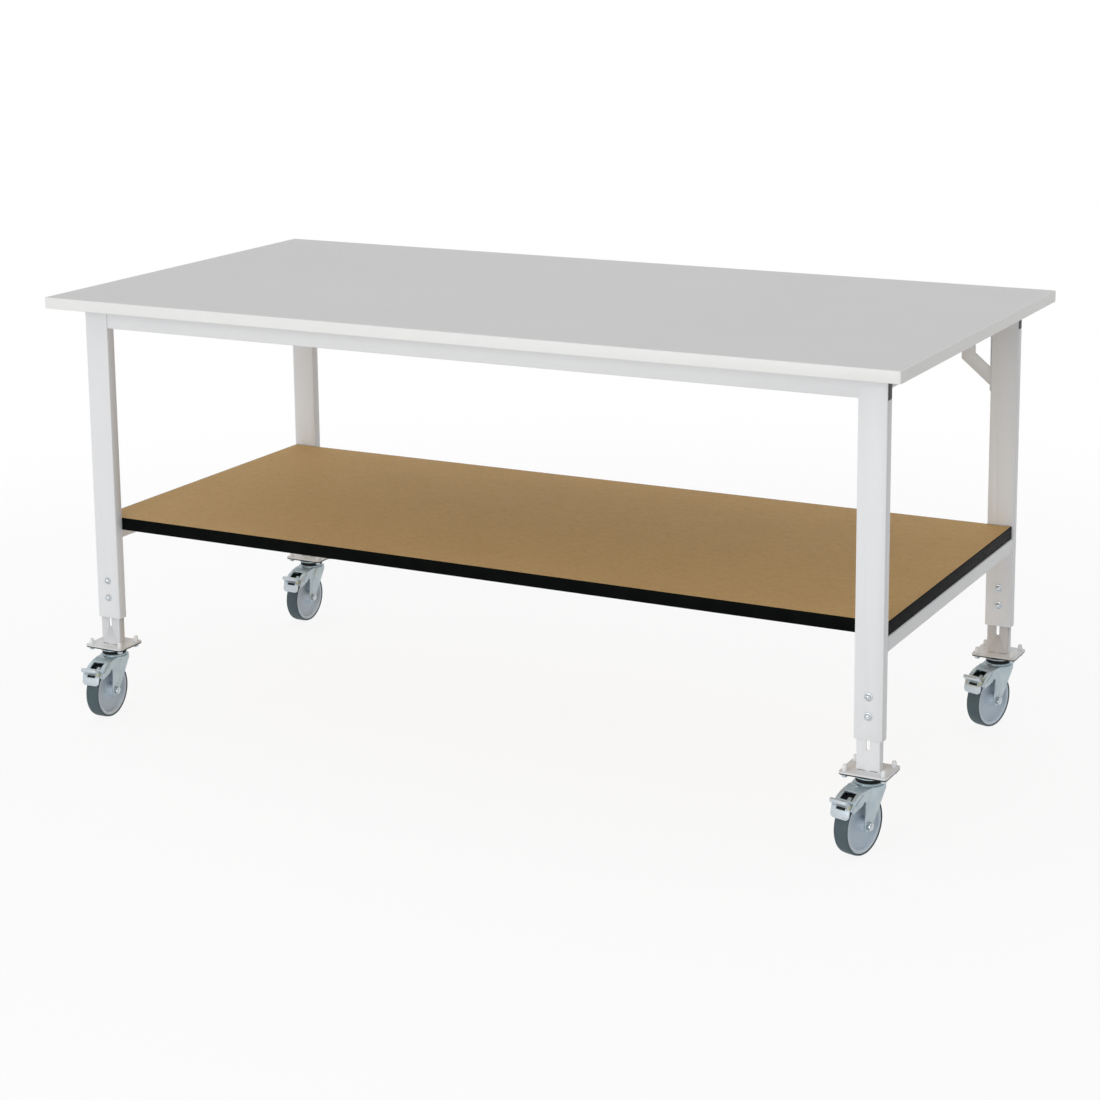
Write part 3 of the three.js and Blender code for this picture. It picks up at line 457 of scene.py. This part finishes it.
def fixings_tree():
    """A tree that sets one fixing on each point of a grid at each vertex of the base mesh."""
    tree = bpy.data.node_groups.new("fixing_pattern", "GeometryNodeTree")
    sockets = {"Geometry": "Geometry", "Fixing": "Object", "Columns": "Int", "Rows": "Int",
               "Width": "Float", "Depth": "Float", "Turn": "Vector", "Finish": "Material"}
    for name, kind in sockets.items():
        tree.interface.new_socket(name, in_out="INPUT", socket_type=f"NodeSocket{kind}")
    tree.interface.new_socket("Geometry", in_out="OUTPUT", socket_type="NodeSocketGeometry")
    kinds = {
        "inputs": "NodeGroupInput",
        "output": "NodeGroupOutput",
        "grid": "GeometryNodeMeshGrid",
        "turn": "GeometryNodeTransform",
        "stations": "GeometryNodeInstanceOnPoints",
        "points": "GeometryNodeRealizeInstances",
        "fixing": "GeometryNodeObjectInfo",
        "copies": "GeometryNodeInstanceOnPoints",
        "solid": "GeometryNodeRealizeInstances",
        "paint": "GeometryNodeSetMaterial",
    }
    nodes = {name: tree.nodes.new(kind) for name, kind in kinds.items()}
    wires = [
        ("inputs", "Columns", "grid", "Vertices X"),
        ("inputs", "Rows", "grid", "Vertices Y"),
        ("inputs", "Width", "grid", "Size X"),
        ("inputs", "Depth", "grid", "Size Y"),
        ("grid", "Mesh", "turn", "Geometry"),
        ("inputs", "Turn", "turn", "Rotation"),
        ("inputs", "Geometry", "stations", "Points"),
        ("turn", "Geometry", "stations", "Instance"),
        ("stations", "Instances", "points", "Geometry"),
        ("points", "Geometry", "copies", "Points"),
        ("inputs", "Fixing", "fixing", "Object"),
        ("fixing", "Geometry", "copies", "Instance"),
        ("copies", "Instances", "solid", "Geometry"),
        ("solid", "Geometry", "paint", "Geometry"),
        ("inputs", "Finish", "paint", "Material"),
        ("paint", "Geometry", "output", "Geometry"),
    ]
    for source, outlet, target, inlet in wires:
        tree.links.new(nodes[source].outputs[outlet], nodes[target].inputs[inlet])
    return tree


FIXINGS = fixings_tree()


def fixings(name, shape, stations, grid, turn, finish, body, nodes=()):
    """Copies of a fixing, in millimetres, on a small grid at each station."""
    tool = scratch(shape.copy())
    base = bmesh.new()
    for station in stations:
        base.verts.new(station)
    host = scratch(base)
    modifier = host.modifiers.new("pattern", "NODES")
    modifier.node_group = FIXINGS
    columns, rows, width, depth = grid
    values = {"Fixing": tool, "Columns": columns, "Rows": rows, "Width": width, "Depth": depth,
              "Turn": turn, "Finish": finish}
    for item in FIXINGS.interface.items_tree:
        if item.in_out == "INPUT" and item.name in values:
            modifier[item.identifier] = values[item.name]
    bm = settled(host)
    drop(tool)
    bmesh.ops.remove_doubles(bm, verts=bm.verts, dist=MERGE)
    piece(name, bm, finish, body, nodes)


# Boards

EDGE_BAND = 2.0


def edge_band(size, corner, z0, z1, rounding):
    """A band round a board, with rounded outer edges; its section runs from 0 at the board to 1."""
    width, depth = size
    inner = round_rectangle(width - 2 * EDGE_BAND, depth - 2 * EDGE_BAND, corner - EDGE_BAND, 6)
    outer = round_rectangle(width, depth, corner, 6)
    share = rounding / EDGE_BAND
    section = [(0.0, z0), (1.0 - share, z0)]
    section += [(1.0 - share + math.sin(t) * rounding / EDGE_BAND, z0 + rounding * (1 - math.cos(t)))
                for t in (math.pi / 8, math.pi / 4, 3 * math.pi / 8, math.pi / 2)]
    section += [(s, z0 + z1 - z) for s, z in reversed(section)]
    bm = bmesh.new()
    rings = []
    for (ix, iy), (ox, oy) in zip(inner, outer):
        rings.append([bm.verts.new((ix + (ox - ix) * s, iy + (oy - iy) * s, z)) for s, z in section])
    for k in range(len(rings)):
        for j in range(len(section)):
            bm.faces.new((rings[k - 1][j - 1], rings[k][j - 1], rings[k][j], rings[k - 1][j]))
    bmesh.ops.remove_doubles(bm, verts=bm.verts, dist=MERGE)
    bmesh.ops.recalc_face_normals(bm, faces=bm.faces)
    return bm


def make_boards():
    cover("tabletop_board", MELAMINE)
    cover("shelf_board", BROWN_BOARD)
    bands = [
        ("worktop_edge_band", "tabletop_edging", 4.0, 1.5, EDGE_PLASTIC, "edge_band"),
        ("shelf_edge_band", "shelf_edging", 2.5, 1.2, BLACK_EDGE, "black_plastic"),
    ]
    for name, node, corner, rounding, finish, slot in bands:
        low, high = (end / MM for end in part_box(node))
        size = (high.x - low.x, high.y - low.y)
        piece(name, edge_band(size, corner, low.z, high.z, rounding), finish, "frame", [node])


# Frame

def dress(node, suffix, rounding, steps, finish, body):
    """Puts a copy of a CAD node with rounded edges in its place."""
    piece(f"{node}_{suffix}", eased(cad_shape(node), rounding, steps), finish, body, [node])


def make_frame():
    for node in ("front_rail", "rear_rail", "side_rail_left", "side_rail_right",
                 "shelf_crossbar_left", "shelf_crossbar_right"):
        dress(node, "tube", 0.9, 3, POWDER_COAT, "frame")
    for side in ("left", "right"):
        dress(f"corner_brace_{side}", "knee", 0.6, 2, POWDER_COAT, "frame")
    for corner, *_ in CORNERS:
        dress(f"outer_leg_{corner}", "tube", 0.9, 3, POWDER_COAT, "frame")
        dress(f"rail_plug_{corner}", "cap", 0.7, 3, BLACK_PLASTIC, "frame")
        dress(f"inner_leg_{corner}", "tube", 0.5, 2, POWDER_COAT, f"leg_{corner}")


def clamp_screw():
    """A flanged dome screw, its head towards -Y."""
    outline = [(0.0, -20.0), (3.0, -20.0), (3.0, 0.0), (8.1, 0.0), (8.5, 0.4), (8.5, 1.0), (8.0, 1.6),
               (6.4, 1.9), (6.0, 2.6), (5.7, 3.9), (4.9, 5.2), (3.6, 6.1), (1.8, 6.5), (0.0, 6.6)]
    bm = lathe(outline, SMALL_STEPS)
    bm.transform(QUARTER_X)
    socket = hexagon(4.0, -8.0, -4.4, 0.1)
    return carved(bm, socket)


def make_clamp_screws():
    stations, nodes = [], []
    for corner, *_ in CORNERS:
        pair = [f"clamp_screw_{corner}_{level}" for level in ("lower", "upper")]
        boxes = [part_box(node) for node in pair]
        heights = [(low.z + high.z) / 2 / MM for low, high in boxes]
        low, high = boxes[-1]
        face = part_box(f"outer_leg_{corner}")[0].y / MM
        stations.append(((low.x + high.x) / 2 / MM, face, sum(heights) / 2))
        nodes += pair
    pitch = heights[1] - heights[0]
    fixings("clamp_screws", clamp_screw(), stations, (2, 1, pitch, 0.0), (0.0, math.pi / 2, 0.0),
            BRIGHT_STEEL, "frame", nodes)


# Castors

def hull(points):
    """The convex body round a set of points."""
    bm = bmesh.new()
    for point in points:
        bm.verts.new(point)
    bmesh.ops.convex_hull(bm, input=bm.verts)
    bmesh.ops.delete(bm, geom=[v for v in bm.verts if not v.link_faces], context="VERTS")
    bmesh.ops.recalc_face_normals(bm, faces=bm.faces)
    return bm


def leg_body(sheet):
    """The fork's legs as two full bodies: the crown drawn in to the knee, then down to the axle."""
    radius, half, top = CROWN_RADIUS - sheet, FORK_HALF - sheet, CROWN_TOP - sheet
    rim = [(radius, CROWN_TOP - CROWN_RIM)]
    rim += arc(radius - SHEET_BEND, top - SHEET_BEND, SHEET_BEND, 0, 90, 5)
    crown = [(r * x, r * y, z) for r, z in rim for x, y in arc(0, 0, 1, 0, 355, 71)]
    rear, front = TRAIL - KNEE_REAR + sheet, TRAIL + KNEE_FRONT - sheet
    corners = round_rectangle(front - rear, 2 * half, SHEET_BEND, 4)
    plan = [(x + (rear + front) / 2, y) for x, y in corners]
    knee = [(x, y, z) for x, y in plan for z in (KNEE_Z, KNEE_Z + 4)]
    boss = [(x, side * y, z) for side in (-1, 1) for r, y in ((0.5, half), (0, half - 0.5))
            for x, z in arc(TRAIL, AXLE_Z, BOSS_RADIUS - sheet - r, 0, 350, 35)]
    return hull(crown + knee), hull(knee + boss)


def hood_shape():
    """The hood from the crown over the wheel to the nose, with a bent edge along its roof."""
    roof = [(0.0, CROWN_TOP)] + arc(TRAIL, AXLE_Z, HOOD_RADIUS, 90, HOOD_NOSE, 20)
    outline = roof + [around_axle(NOSE_RADIUS, HOOD_NOSE)]
    outline += arc(TRAIL + SKIRT_NOTCH_X, SKIRT_Z, SKIRT_NOTCH_RADIUS, 0, 180, 12) + [(0.0, SKIRT_Z)]
    bm = prism(outline, -FORK_HALF, FORK_HALF)
    line = {(round(x, 2), round(z, 2)) for x, z in roof}
    edges = [e for e in bm.edges
             if abs(e.verts[0].co.y - e.verts[1].co.y) < 1e-6
             and all((round(v.co.x, 2), round(v.co.z, 2)) in line for v in e.verts)]
    bmesh.ops.bevel(bm, geom=edges, offset=SHEET_BEND, segments=5, profile=0.5, affect="EDGES")
    return bm


def sector(inner, outer, start, end, y0, y1, steps):
    """A block between two radii and two angles round the axle."""
    outline = arc(TRAIL, AXLE_Z, outer, start, end, steps)
    outline += arc(TRAIL, AXLE_Z, inner, end, start, steps)
    return prism(outline, y0, y1)


def fork_shape():
    """The pressed fork: hood and legs made hollow, with the window, the holes and the crease slits."""
    inside = FORK_HALF - FORK_SHEET
    far = 3 * HOOD_RADIUS
    bore = [(0.0, 0.0), (0.0, CROWN_TOP - FORK_SHEET)]
    bore += arc(TRAIL, AXLE_Z, HOOD_RADIUS - FORK_SHEET, 90, 0, 24) + [(TRAIL + HOOD_RADIUS, 0.0)]
    roof_front, roof_low = around_axle(HOOD_RADIUS, NOSE_CUT)
    front = around_axle(HOOD_RADIUS, WINDOW_START)[0]
    back = around_axle(HOOD_RADIUS, WINDOW_END)[0]
    nose = block(roof_front, far, -inside, inside, 0, CROWN_TOP + 1)
    window = block(back, front, -WINDOW_HALF, WINDOW_HALF, roof_low - FORK_SHEET, CROWN_TOP + 20)
    window = eased(window, 2.0, 3)
    wheel_gap = block(-far, TRAIL + KNEE_FRONT + FORK_SHEET, -WHEEL_GAP_HALF, WHEEL_GAP_HALF,
                      0, CROWN_TOP - CROWN_RIM)
    low, high = around_axle(69.5, 50), around_axle(72.4, 73)
    crease = [(low[0] - 0.5, low[1] - 0.7), (low[0] + 0.5, low[1] + 0.7),
              (high[0] + 0.5, high[1] + 0.7), (high[0] - 0.5, high[1] - 0.7)]
    # Just short of the hood's own sides, so that no faces coincide.
    side = FORK_HALF - 0.02
    cheeks = block(10, TRAIL + KNEE_FRONT - 0.05, -side, side, KNEE_Z + 2, SKIRT_Z + 3.3)
    shell = welded(hood_shape(), cheeks, *leg_body(0.0))
    fork = carved(shell, prism(bore, -inside, inside), *leg_body(FORK_SHEET), wheel_gap, nose, window,
                  moved(rod(AXLE_HOLE, -60, 60), TRAIL, 0, AXLE_Z),
                  moved(rod(PIN_HOLE, -60, 60), PIN_X, 0, PIN_Z),
                  prism(crease, inside - 0.5, far), prism(crease, -far, 0.5 - inside),
                  upright(arc(0, 0, KINGPIN_HOLE, 0, 350, 35), SKIRT_Z, CROWN_TOP + 20))
    return eased(fork, 0.35, 2, 40)


def ring(outline, base=0.0, steps=RACE_STEPS):
    """An outline of (radius, height over the base) points turned about Z."""
    return lathe([(radius, base + height) for radius, height in outline], steps)


def swivel_race():
    """The lower race on the crown, under its seal."""
    return ring([(KINGPIN_HOLE, -1.2), (27.0, -1.2), (28.4, 0.2), (28.4, 2.2), (27.0, 3.4), (22.0, 3.4),
                 (22.0, 11.8), (KINGPIN_HOLE, 11.8)], CROWN_TOP)


# A black seal ring on the lower race; its black also paints the shade in the gap between the races.
def lower_seal():
    return ring([(22.2, 3.6), (26.4, 3.7), (27.4, 4.6), (27.4, 6.6), (26.4, 7.1), (26.4, 7.6),
                 (27.4, 8.1), (27.4, 10.4), (26.4, 11.7), (22.2, 11.8)], CROWN_TOP)


# A black seal ring under the castor plate; its black also paints the shade round the race's neck.
def upper_seal():
    return ring([(25.2, 151.9), (29.4, 151.95), (30.2, 152.8), (30.0, 155.4), (29.2, 156.6),
                 (25.2, 156.7)])


def plate_shape():
    """The castor's top plate with the upper race, the kingpin and its nut."""
    sheet = eased(upright(round_rectangle(97, 82, 7, 8), PLATE_BOTTOM, SHADE_SHEET_Z), 0.3, 2, 60)
    race = ring([(0, 126.0), (5.2, 126.0), (6.0, 126.8), (6.0, 149.265), (30.0, 149.265), (30.8, 149.6),
                 (31.0, 150.5), (30.8, 151.4), (30.0, 151.765), (25.0, 151.9), (25.0, 158.0),
                 (0, 158.0)])
    nut = hexagon(18.0, -3.5, 3.5)
    nut.transform(QUARTER_X)
    return welded(sheet, race, moved(nut, 0, 0, KINGPIN_NUT_Z))


def gasket_shape():
    """A thin black sheet between the castor plate and the base plate of the leg, wider than the castor
    plate: painted shade for the dark line under the base plate.
    """
    return upright(round_rectangle(99.6, 84.6, 7.8, 8), SHADE_SHEET_Z + 0.02, PLATE_TOP - 0.02)


def bolt_head():
    """A hexagon head with its washer, under the castor plate."""
    head = hexagon(10.5, -2.9, 2.9)
    head.transform(QUARTER_X)
    moved(head, 0, 0, PLATE_BOTTOM - 3.7)
    washer = ring([(2.0, -1.0), (6.2, -1.0), (6.5, -0.7), (6.5, 0.0), (2.0, 0.0)], PLATE_BOTTOM,
                  SMALL_STEPS)
    return welded(head, washer)


def cap_nut():
    """A tall domed cap on the base plate, with a shallow groove above its foot."""
    return ring([(0, 0), (5.0, 0), (5.3, 0.3), (5.3, 2.2), (4.8, 2.5), (4.8, 2.9), (4.9, 3.2),
                 (4.9, 9.0), (4.5, 10.8), (3.6, 12.3), (2.3, 13.2), (1.0, 13.6), (0, 13.65)],
                BASE_TOP, SMALL_STEPS)


def weld_bead():
    """A black block in each weld slot of the base plate: painted shade for the slot's dark depth."""
    return block(-7.9, 7.9, -1.4, 1.4, PLATE_TOP + 0.05, BASE_TOP - 0.2)


def axle_shape():
    """The axle bolt with its head and nut outside the fork."""
    seat = FORK_HALF + FIT_GAP
    shank = rod(4.0, -seat - 3, seat + 8.5, 40)
    head = hexagon(15.0, -seat - 5.8, -seat, 0.9)
    nut = hexagon(15.0, seat, seat + 7.0, 0.9)
    return moved(welded(shank, head, nut), TRAIL, 0, AXLE_Z)


def turned(half_outline):
    """A wheel piece: half an outline of (radius, distance from the middle), mirrored and turned."""
    outline = half_outline + [(r, -h) for r, h in reversed(half_outline)]
    bm = lathe(outline, WHEEL_STEPS)
    bm.transform(QUARTER_X)
    return moved(bm, TRAIL, 0, AXLE_Z)


def wheel_core_shape():
    return turned([(4.3, 21.0), (11.0, 21.0), (12.0, 20.2), (13.4, 12.0), (14.4, 8.6), (16.4, 6.7),
                   (20.0, 6.0), (46.0, 6.0), (48.0, 6.5), (49.3, 7.6), (49.85, 8.6)])


def wheel_rim_shape():
    return turned([(49.9, 8.4), (50.3, 12.6), (50.9, 13.9), (52.0, 14.5), (57.0, 14.5), (57.6, 14.1)])


def tyre_shape():
    return turned([(58.0, 15.6), (58.4, 16.0), (59.6, 16.0), (60.6, 15.2), (61.3, 13.6), (61.75, 11.4),
                   (61.93, 8.6), (WHEEL_RADIUS, 5.5)])


def lock_lip(hub_radius, half):
    """The wide lip that locks the wheel: slotted sheet with round corners, curled down from the hub."""
    sheet, reach, bottom = 3.5, LOCK_LIP_REACH, -LOCK_LIP_DROP
    back, under = reach - sheet, hub_radius - sheet
    outline = bend((0, hub_radius), (reach, hub_radius), (reach, bottom), 14)
    outline += bend((back, bottom), (back, under), (0, under), 14)
    mask = prism(round_rectangle(2 * half, 2 * LOCK_LIP_DROP, 8.0, 8), -3 * reach, 3 * reach)
    mask.transform(Matrix.Rotation(math.pi / 2, 4, "Z"))
    lip = combined(prism(outline, -half, half), [mask], "INTERSECT")
    slot = block(8.4, 12.9, -10.5, 10.5, -6, 2 * hub_radius)
    lip = eased(carved(lip, slot), 0.9, 3, 40)
    # A hair off the hub, so that no faces coincide.
    return moved(lip, 0.013, 0, -0.017)


def release_lip():
    """The upper lip that frees the wheel: a tongue with a rolled end."""
    tongue_half, roll = 3.5, 4.8
    slope = math.degrees(math.atan2(RELEASE_LIP_RISE, RELEASE_LIP_REACH))
    nx = -tongue_half * math.sin(math.radians(slope))
    nz = tongue_half * math.cos(math.radians(slope))
    rolled = arc(RELEASE_LIP_REACH - 1, RELEASE_LIP_RISE - 1, roll, slope - 120, slope + 120, 16)
    return eased(prism([(-nx, -nz)] + rolled + [(nx, nz)], -19.5, 19.5), 2.4, 3, 50)


def pedal_shape():
    hub_radius, half, head_height = 5.0, 21.0, 1.5
    seat = FORK_HALF + FIT_GAP
    hub = eased(rod(hub_radius, -half, half, 40), 0.6, 2, 50)
    pivot = rod(3.0, -seat - 0.8, seat + 0.8)
    heads = [eased(rod(5.0, y, y + head_height), 0.5, 2, 50) for y in (-seat - head_height, seat)]
    pedal = welded(hub, pivot, lock_lip(hub_radius, half), release_lip(), *heads)
    return welded(moved(pedal, PIN_X, 0, PIN_Z), sector(71.3, 74.3, 33, 45, -13, 13, 4))


def pedal_insert():
    """A black block behind the slot of the locking lip: painted shade for the dark gap under the
    tongue.
    """
    outline = [(8.5, 1.3), (9.6, 0.3), (11.3, -2.0), (12.3, -3.7), (11.0, -5.0), (8.5, -3.0)]
    return moved(prism(outline, -10.4, 10.4), PIN_X, 0, PIN_Z)


def spring_leaf():
    """The leaf spring under the hood window."""
    return eased(sector(64.8, 66.0, 57, 66, -4, 4, 5), 0.3, 2, 40)


def brake_guard():
    """A black sheet over the tread, under the hood window: painted shade for the dark inside of the
    hood.
    """
    return sector(63.6, 64.6, 51, 76, -20, 20, 10)


def spring_clip():
    """The small clip on the pedal's inner edge."""
    outline = bend((2.0, 5.6), (9.0, 6.2), (12.5, 2.6), 8)
    outline += bend((11.7, 1.9), (8.6, 5.0), (2.0, 4.4), 8)
    clip = eased(prism(outline, 14.6, 20.0), 0.25, 2, 40)
    return moved(clip, PIN_X, 0, PIN_Z + 0.6)


def crown_rivet():
    rivet = ring([(0, 0), (4.6, 0), (4.6, 1.0), (3.9, 2.0), (2.4, 2.8), (0, 3.1)], CROWN_TOP - 0.4, 28)
    return moved(rivet, 36, -4)


def make_casters():
    # Name, shape, finish, body, slot and replaced node of what stays with the leg, then of what swivels
    standing = [
        ("caster_plate_{}_mount", plate_shape(), ZINC, "leg_{}", "zinc_steel", ["caster_plate_{}"]),
        ("swivel_upper_seal_{}", upper_seal(), BLACK_RUBBER_AND_SHADE, "leg_{}", "black_plastic", []),
        # A black sheet whose edge is painted shade under the base plate
        ("plate_gasket_{}", gasket_shape(), BLACK_RUBBER_AND_SHADE, "leg_{}", "black_plastic", []),
    ]
    turning = [
        ("caster_fork_{}_sheet", fork_shape(), ZINC, "swivel_{}", "zinc_steel", ["caster_fork_{}"]),
        ("swivel_race_{}", swivel_race(), ZINC, "swivel_{}", "zinc_steel", []),
        ("swivel_lower_seal_{}", lower_seal(), BLACK_RUBBER_AND_SHADE, "swivel_{}", "black_plastic", []),
        ("crown_rivet_{}", crown_rivet(), BRIGHT_STEEL, "swivel_{}", "bright_steel", []),
        ("brake_leaf_{}", spring_leaf(), ZINC, "swivel_{}", "zinc_steel", []),
        ("brake_guard_{}", brake_guard(), BLACK_RUBBER_AND_SHADE, "swivel_{}", "black_plastic", []),
        ("caster_axle_{}_bolt", axle_shape(), BRIGHT_STEEL, "swivel_{}", "bright_steel",
         ["caster_axle_{}"]),
        ("wheel_core_{}_disc", wheel_core_shape(), WHEEL_PLASTIC, "wheel_{}", "wheel_plastic",
         ["wheel_core_{}"]),
        ("wheel_rim_{}", wheel_rim_shape(), RIM_HIGHLIGHT_PLASTIC, "wheel_{}", "wheel_plastic", []),
        ("tyre_{}_tread", tyre_shape(), TYRE_RUBBER, "wheel_{}", "tyre_rubber", ["tyre_{}"]),
        ("brake_pedal_{}_lever", pedal_shape(), PALE_ZINC, "pedal_{}", "zinc_steel",
         ["brake_pedal_{}"]),
        ("brake_stop_{}", pedal_insert(), BLACK_RUBBER_AND_SHADE, "pedal_{}", "black_plastic", []),
        ("brake_clip_{}", spring_clip(), YELLOW_CHROMATE, "pedal_{}", "zinc_steel", []),
    ]
    # Name, shape, grid, finish and slot of the fixings on the castor's plate
    fixed = [
        ("plate_bolts_{}", bolt_head(), BOLT_GRID, PALE_ZINC, "bright_steel"),
        # Black blocks in the weld slots, painted shade
        ("weld_beads_{}", weld_bead(), WELD_GRID, BLACK_RUBBER_AND_SHADE, "black_plastic"),
        ("plate_caps_{}", cap_nut(), BOLT_GRID, CAP_PLASTIC, "bright_steel"),
    ]

    def add_pieces(rows, corner, place):
        for name, shape, finish, body, slot, nodes in rows:
            piece(name.format(corner), shape, finish, body.format(corner),
                  [node.format(corner) for node in nodes], place)

    for corner, sx, sy, heading in CORNERS:
        foot = (sx * LEG_X, sy * LEG_Y, 0)
        station = Matrix.Translation(foot)
        add_pieces(standing, corner, station)
        for name, shape, grid, finish, slot in fixed:
            fixings(name.format(corner), shape, [foot], grid, (0, 0, 0), finish, f"leg_{corner}")
        add_pieces(turning, corner, station @ Matrix.Rotation(math.radians(heading), 4, "Z"))
        cover(f"brake_shoe_{corner}", BLACK_RUBBER_AND_SHADE)


# Camera, light and floor

# Fitted to the photo: place in metres, angles in radians, focal length in pixels of the photo's width
CAMERA_PLACE = Vector((2.4731, -4.6770, 1.8562))
CAMERA_YAW, CAMERA_PITCH, CAMERA_ROLL = 0.4937, 0.1889, 0.0118
CAMERA_SHIFT_X, CAMERA_SHIFT_Y = 0.018, -0.18
FOCAL_PIXELS, PHOTO_PIXELS = 2427.5, 1100
SENSOR_WIDTH = 36.0

# The world's light, and how it falls off towards the right
WORLD_LIGHT, WORLD_SLOPE = 0.64, -0.16
WHITE = (1, 1, 1, 1)

# How clear the camera sees the floor, near the table and far from it, and the share of the world's
# light that comes up through it, as over a light table
FLOOR_HALF = 14
FLOOR_FADE = {"From Min": 1.2, "From Max": 3.6, "To Min": 0.88, "To Max": 1.0}
FLOOR_GLOW = 0.8


def make_camera():
    yaw, pitch, roll = CAMERA_YAW, CAMERA_PITCH, CAMERA_ROLL
    level = math.cos(pitch)
    ahead = Vector((-math.sin(yaw) * level, math.cos(yaw) * level, -math.sin(pitch)))
    across = Vector((math.cos(yaw), math.sin(yaw), 0))
    up = across.cross(ahead)
    right = math.cos(roll) * across - math.sin(roll) * up
    top = math.sin(roll) * across + math.cos(roll) * up
    data = bpy.data.cameras.new("camera")
    data.sensor_width = SENSOR_WIDTH
    data.lens = SENSOR_WIDTH * FOCAL_PIXELS / PHOTO_PIXELS
    data.shift_x, data.shift_y = CAMERA_SHIFT_X, CAMERA_SHIFT_Y
    data.clip_start, data.clip_end = 0.1, 100.0
    camera = bpy.data.objects.new("camera", data)
    rows = [(right[k], top[k], -ahead[k], CAMERA_PLACE[k]) for k in range(3)]
    camera.matrix_world = Matrix(rows + [(0, 0, 0, 1)])
    bpy.context.scene.collection.objects.link(camera)
    bpy.context.scene.camera = camera


def add_lamp(name, place, target, width, power):
    data = bpy.data.lights.new(name, "AREA")
    data.size = width
    data.energy = power
    lamp = bpy.data.objects.new(name, data)
    lamp.location = place
    lamp.rotation_euler = (Vector(target) - Vector(place)).to_track_quat("-Z", "Y").to_euler()
    bpy.context.scene.collection.objects.link(lamp)


def calculated(tree, operation, *values):
    """The result of a Math node; each value is a number or another node's output."""
    node = tree.nodes.new("ShaderNodeMath")
    node.operation = operation
    for socket, value in zip(node.inputs, values):
        if isinstance(value, float):
            socket.default_value = value
        else:
            tree.links.new(value, socket)
    return node.outputs[0]


def any_ray(tree, first, *others):
    """1 for rays of the named kinds."""
    path = tree.nodes.new("ShaderNodeLightPath")
    total = path.outputs[first]
    for ray in others:
        total = calculated(tree, "MAXIMUM", total, path.outputs[ray])
    return total


def seen_as_background(tree):
    return any_ray(tree, "Is Camera Ray", "Is Glossy Ray", "Is Transmission Ray")


def mix_to_output(tree, share, first, second, output):
    mix = tree.nodes.new("ShaderNodeMixShader")
    for socket, source in zip(mix.inputs, (share, first.outputs[0], second.outputs[0])):
        tree.links.new(source, socket)
    tree.links.new(mix.outputs[0], tree.nodes[output].inputs["Surface"])


def make_world():
    """White behind the table, and a softer light that falls off towards the right."""
    world = bpy.data.worlds.new("studio")
    world.use_nodes = True
    tree = world.node_tree
    light = tree.nodes["Background"]
    light.inputs["Color"].default_value = WHITE
    towards = tree.nodes.new("ShaderNodeTexCoord")
    parts = tree.nodes.new("ShaderNodeSeparateXYZ")
    tree.links.new(towards.outputs["Generated"], parts.inputs[0])
    strength = calculated(tree, "MULTIPLY_ADD", parts.outputs["X"], WORLD_SLOPE, WORLD_LIGHT)
    tree.links.new(strength, light.inputs["Strength"])
    white = tree.nodes.new("ShaderNodeBackground")
    white.inputs["Color"].default_value = WHITE
    white.inputs["Strength"].default_value = 1.0
    mix_to_output(tree, seen_as_background(tree), light, white, "World Output")
    bpy.context.scene.world = world


def floor_paint():
    """A matt floor that the camera sees as almost clear, so that legs below it still show."""
    paint = bpy.data.materials.new("pale_floor")
    paint.use_nodes = True
    tree = paint.node_tree
    matt = tree.nodes["Principled BSDF"]
    matt.inputs["Base Color"].default_value = shade(240, 240, 240)
    matt.inputs["Roughness"].default_value = 0.9
    clear = tree.nodes.new("ShaderNodeBsdfTransparent")
    clear.inputs["Color"].default_value = WHITE
    place = tree.nodes.new("ShaderNodeTexCoord")
    away = tree.nodes.new("ShaderNodeVectorMath")
    away.operation = "LENGTH"
    tree.links.new(place.outputs["Object"], away.inputs[0])
    fade = tree.nodes.new("ShaderNodeMapRange")
    fade.interpolation_type = "SMOOTHSTEP"
    for socket, value in FLOOR_FADE.items():
        fade.inputs[socket].default_value = value
    tree.links.new(away.outputs["Value"], fade.inputs["Value"])
    seen = calculated(tree, "MULTIPLY", seen_as_background(tree), fade.outputs["Result"])
    lit = any_ray(tree, "Is Diffuse Ray", "Is Shadow Ray")
    mix_to_output(tree, calculated(tree, "MULTIPLY_ADD", lit, FLOOR_GLOW, seen), matt, clear,
                  "Material Output")
    return paint


def make_stage():
    scene = bpy.context.scene
    scene.view_settings.view_transform = "Standard"
    make_world()
    half = FLOOR_HALF
    mesh = bpy.data.meshes.new("floor")
    mesh.from_pydata([(-half, -half, 0), (half, -half, 0), (half, half, 0), (-half, half, 0)], [],
                     [(0, 1, 2, 3)])
    mesh.materials.append(floor_paint())
    floor = bpy.data.objects.new("floor", mesh)
    scene.collection.objects.link(floor)
    add_lamp("front_softbox", (-0.2, -4.9, 1.5), (0.0, 0.0, 0.5), 2.4, 66)
    add_lamp("overhead_softbox", (0.4, 0.6, 4.2), (0.0, 0.0, 0.6), 3.0, 8)


make_camera()
make_stage()
make_boards()
make_frame()
make_clamp_screws()
make_casters()
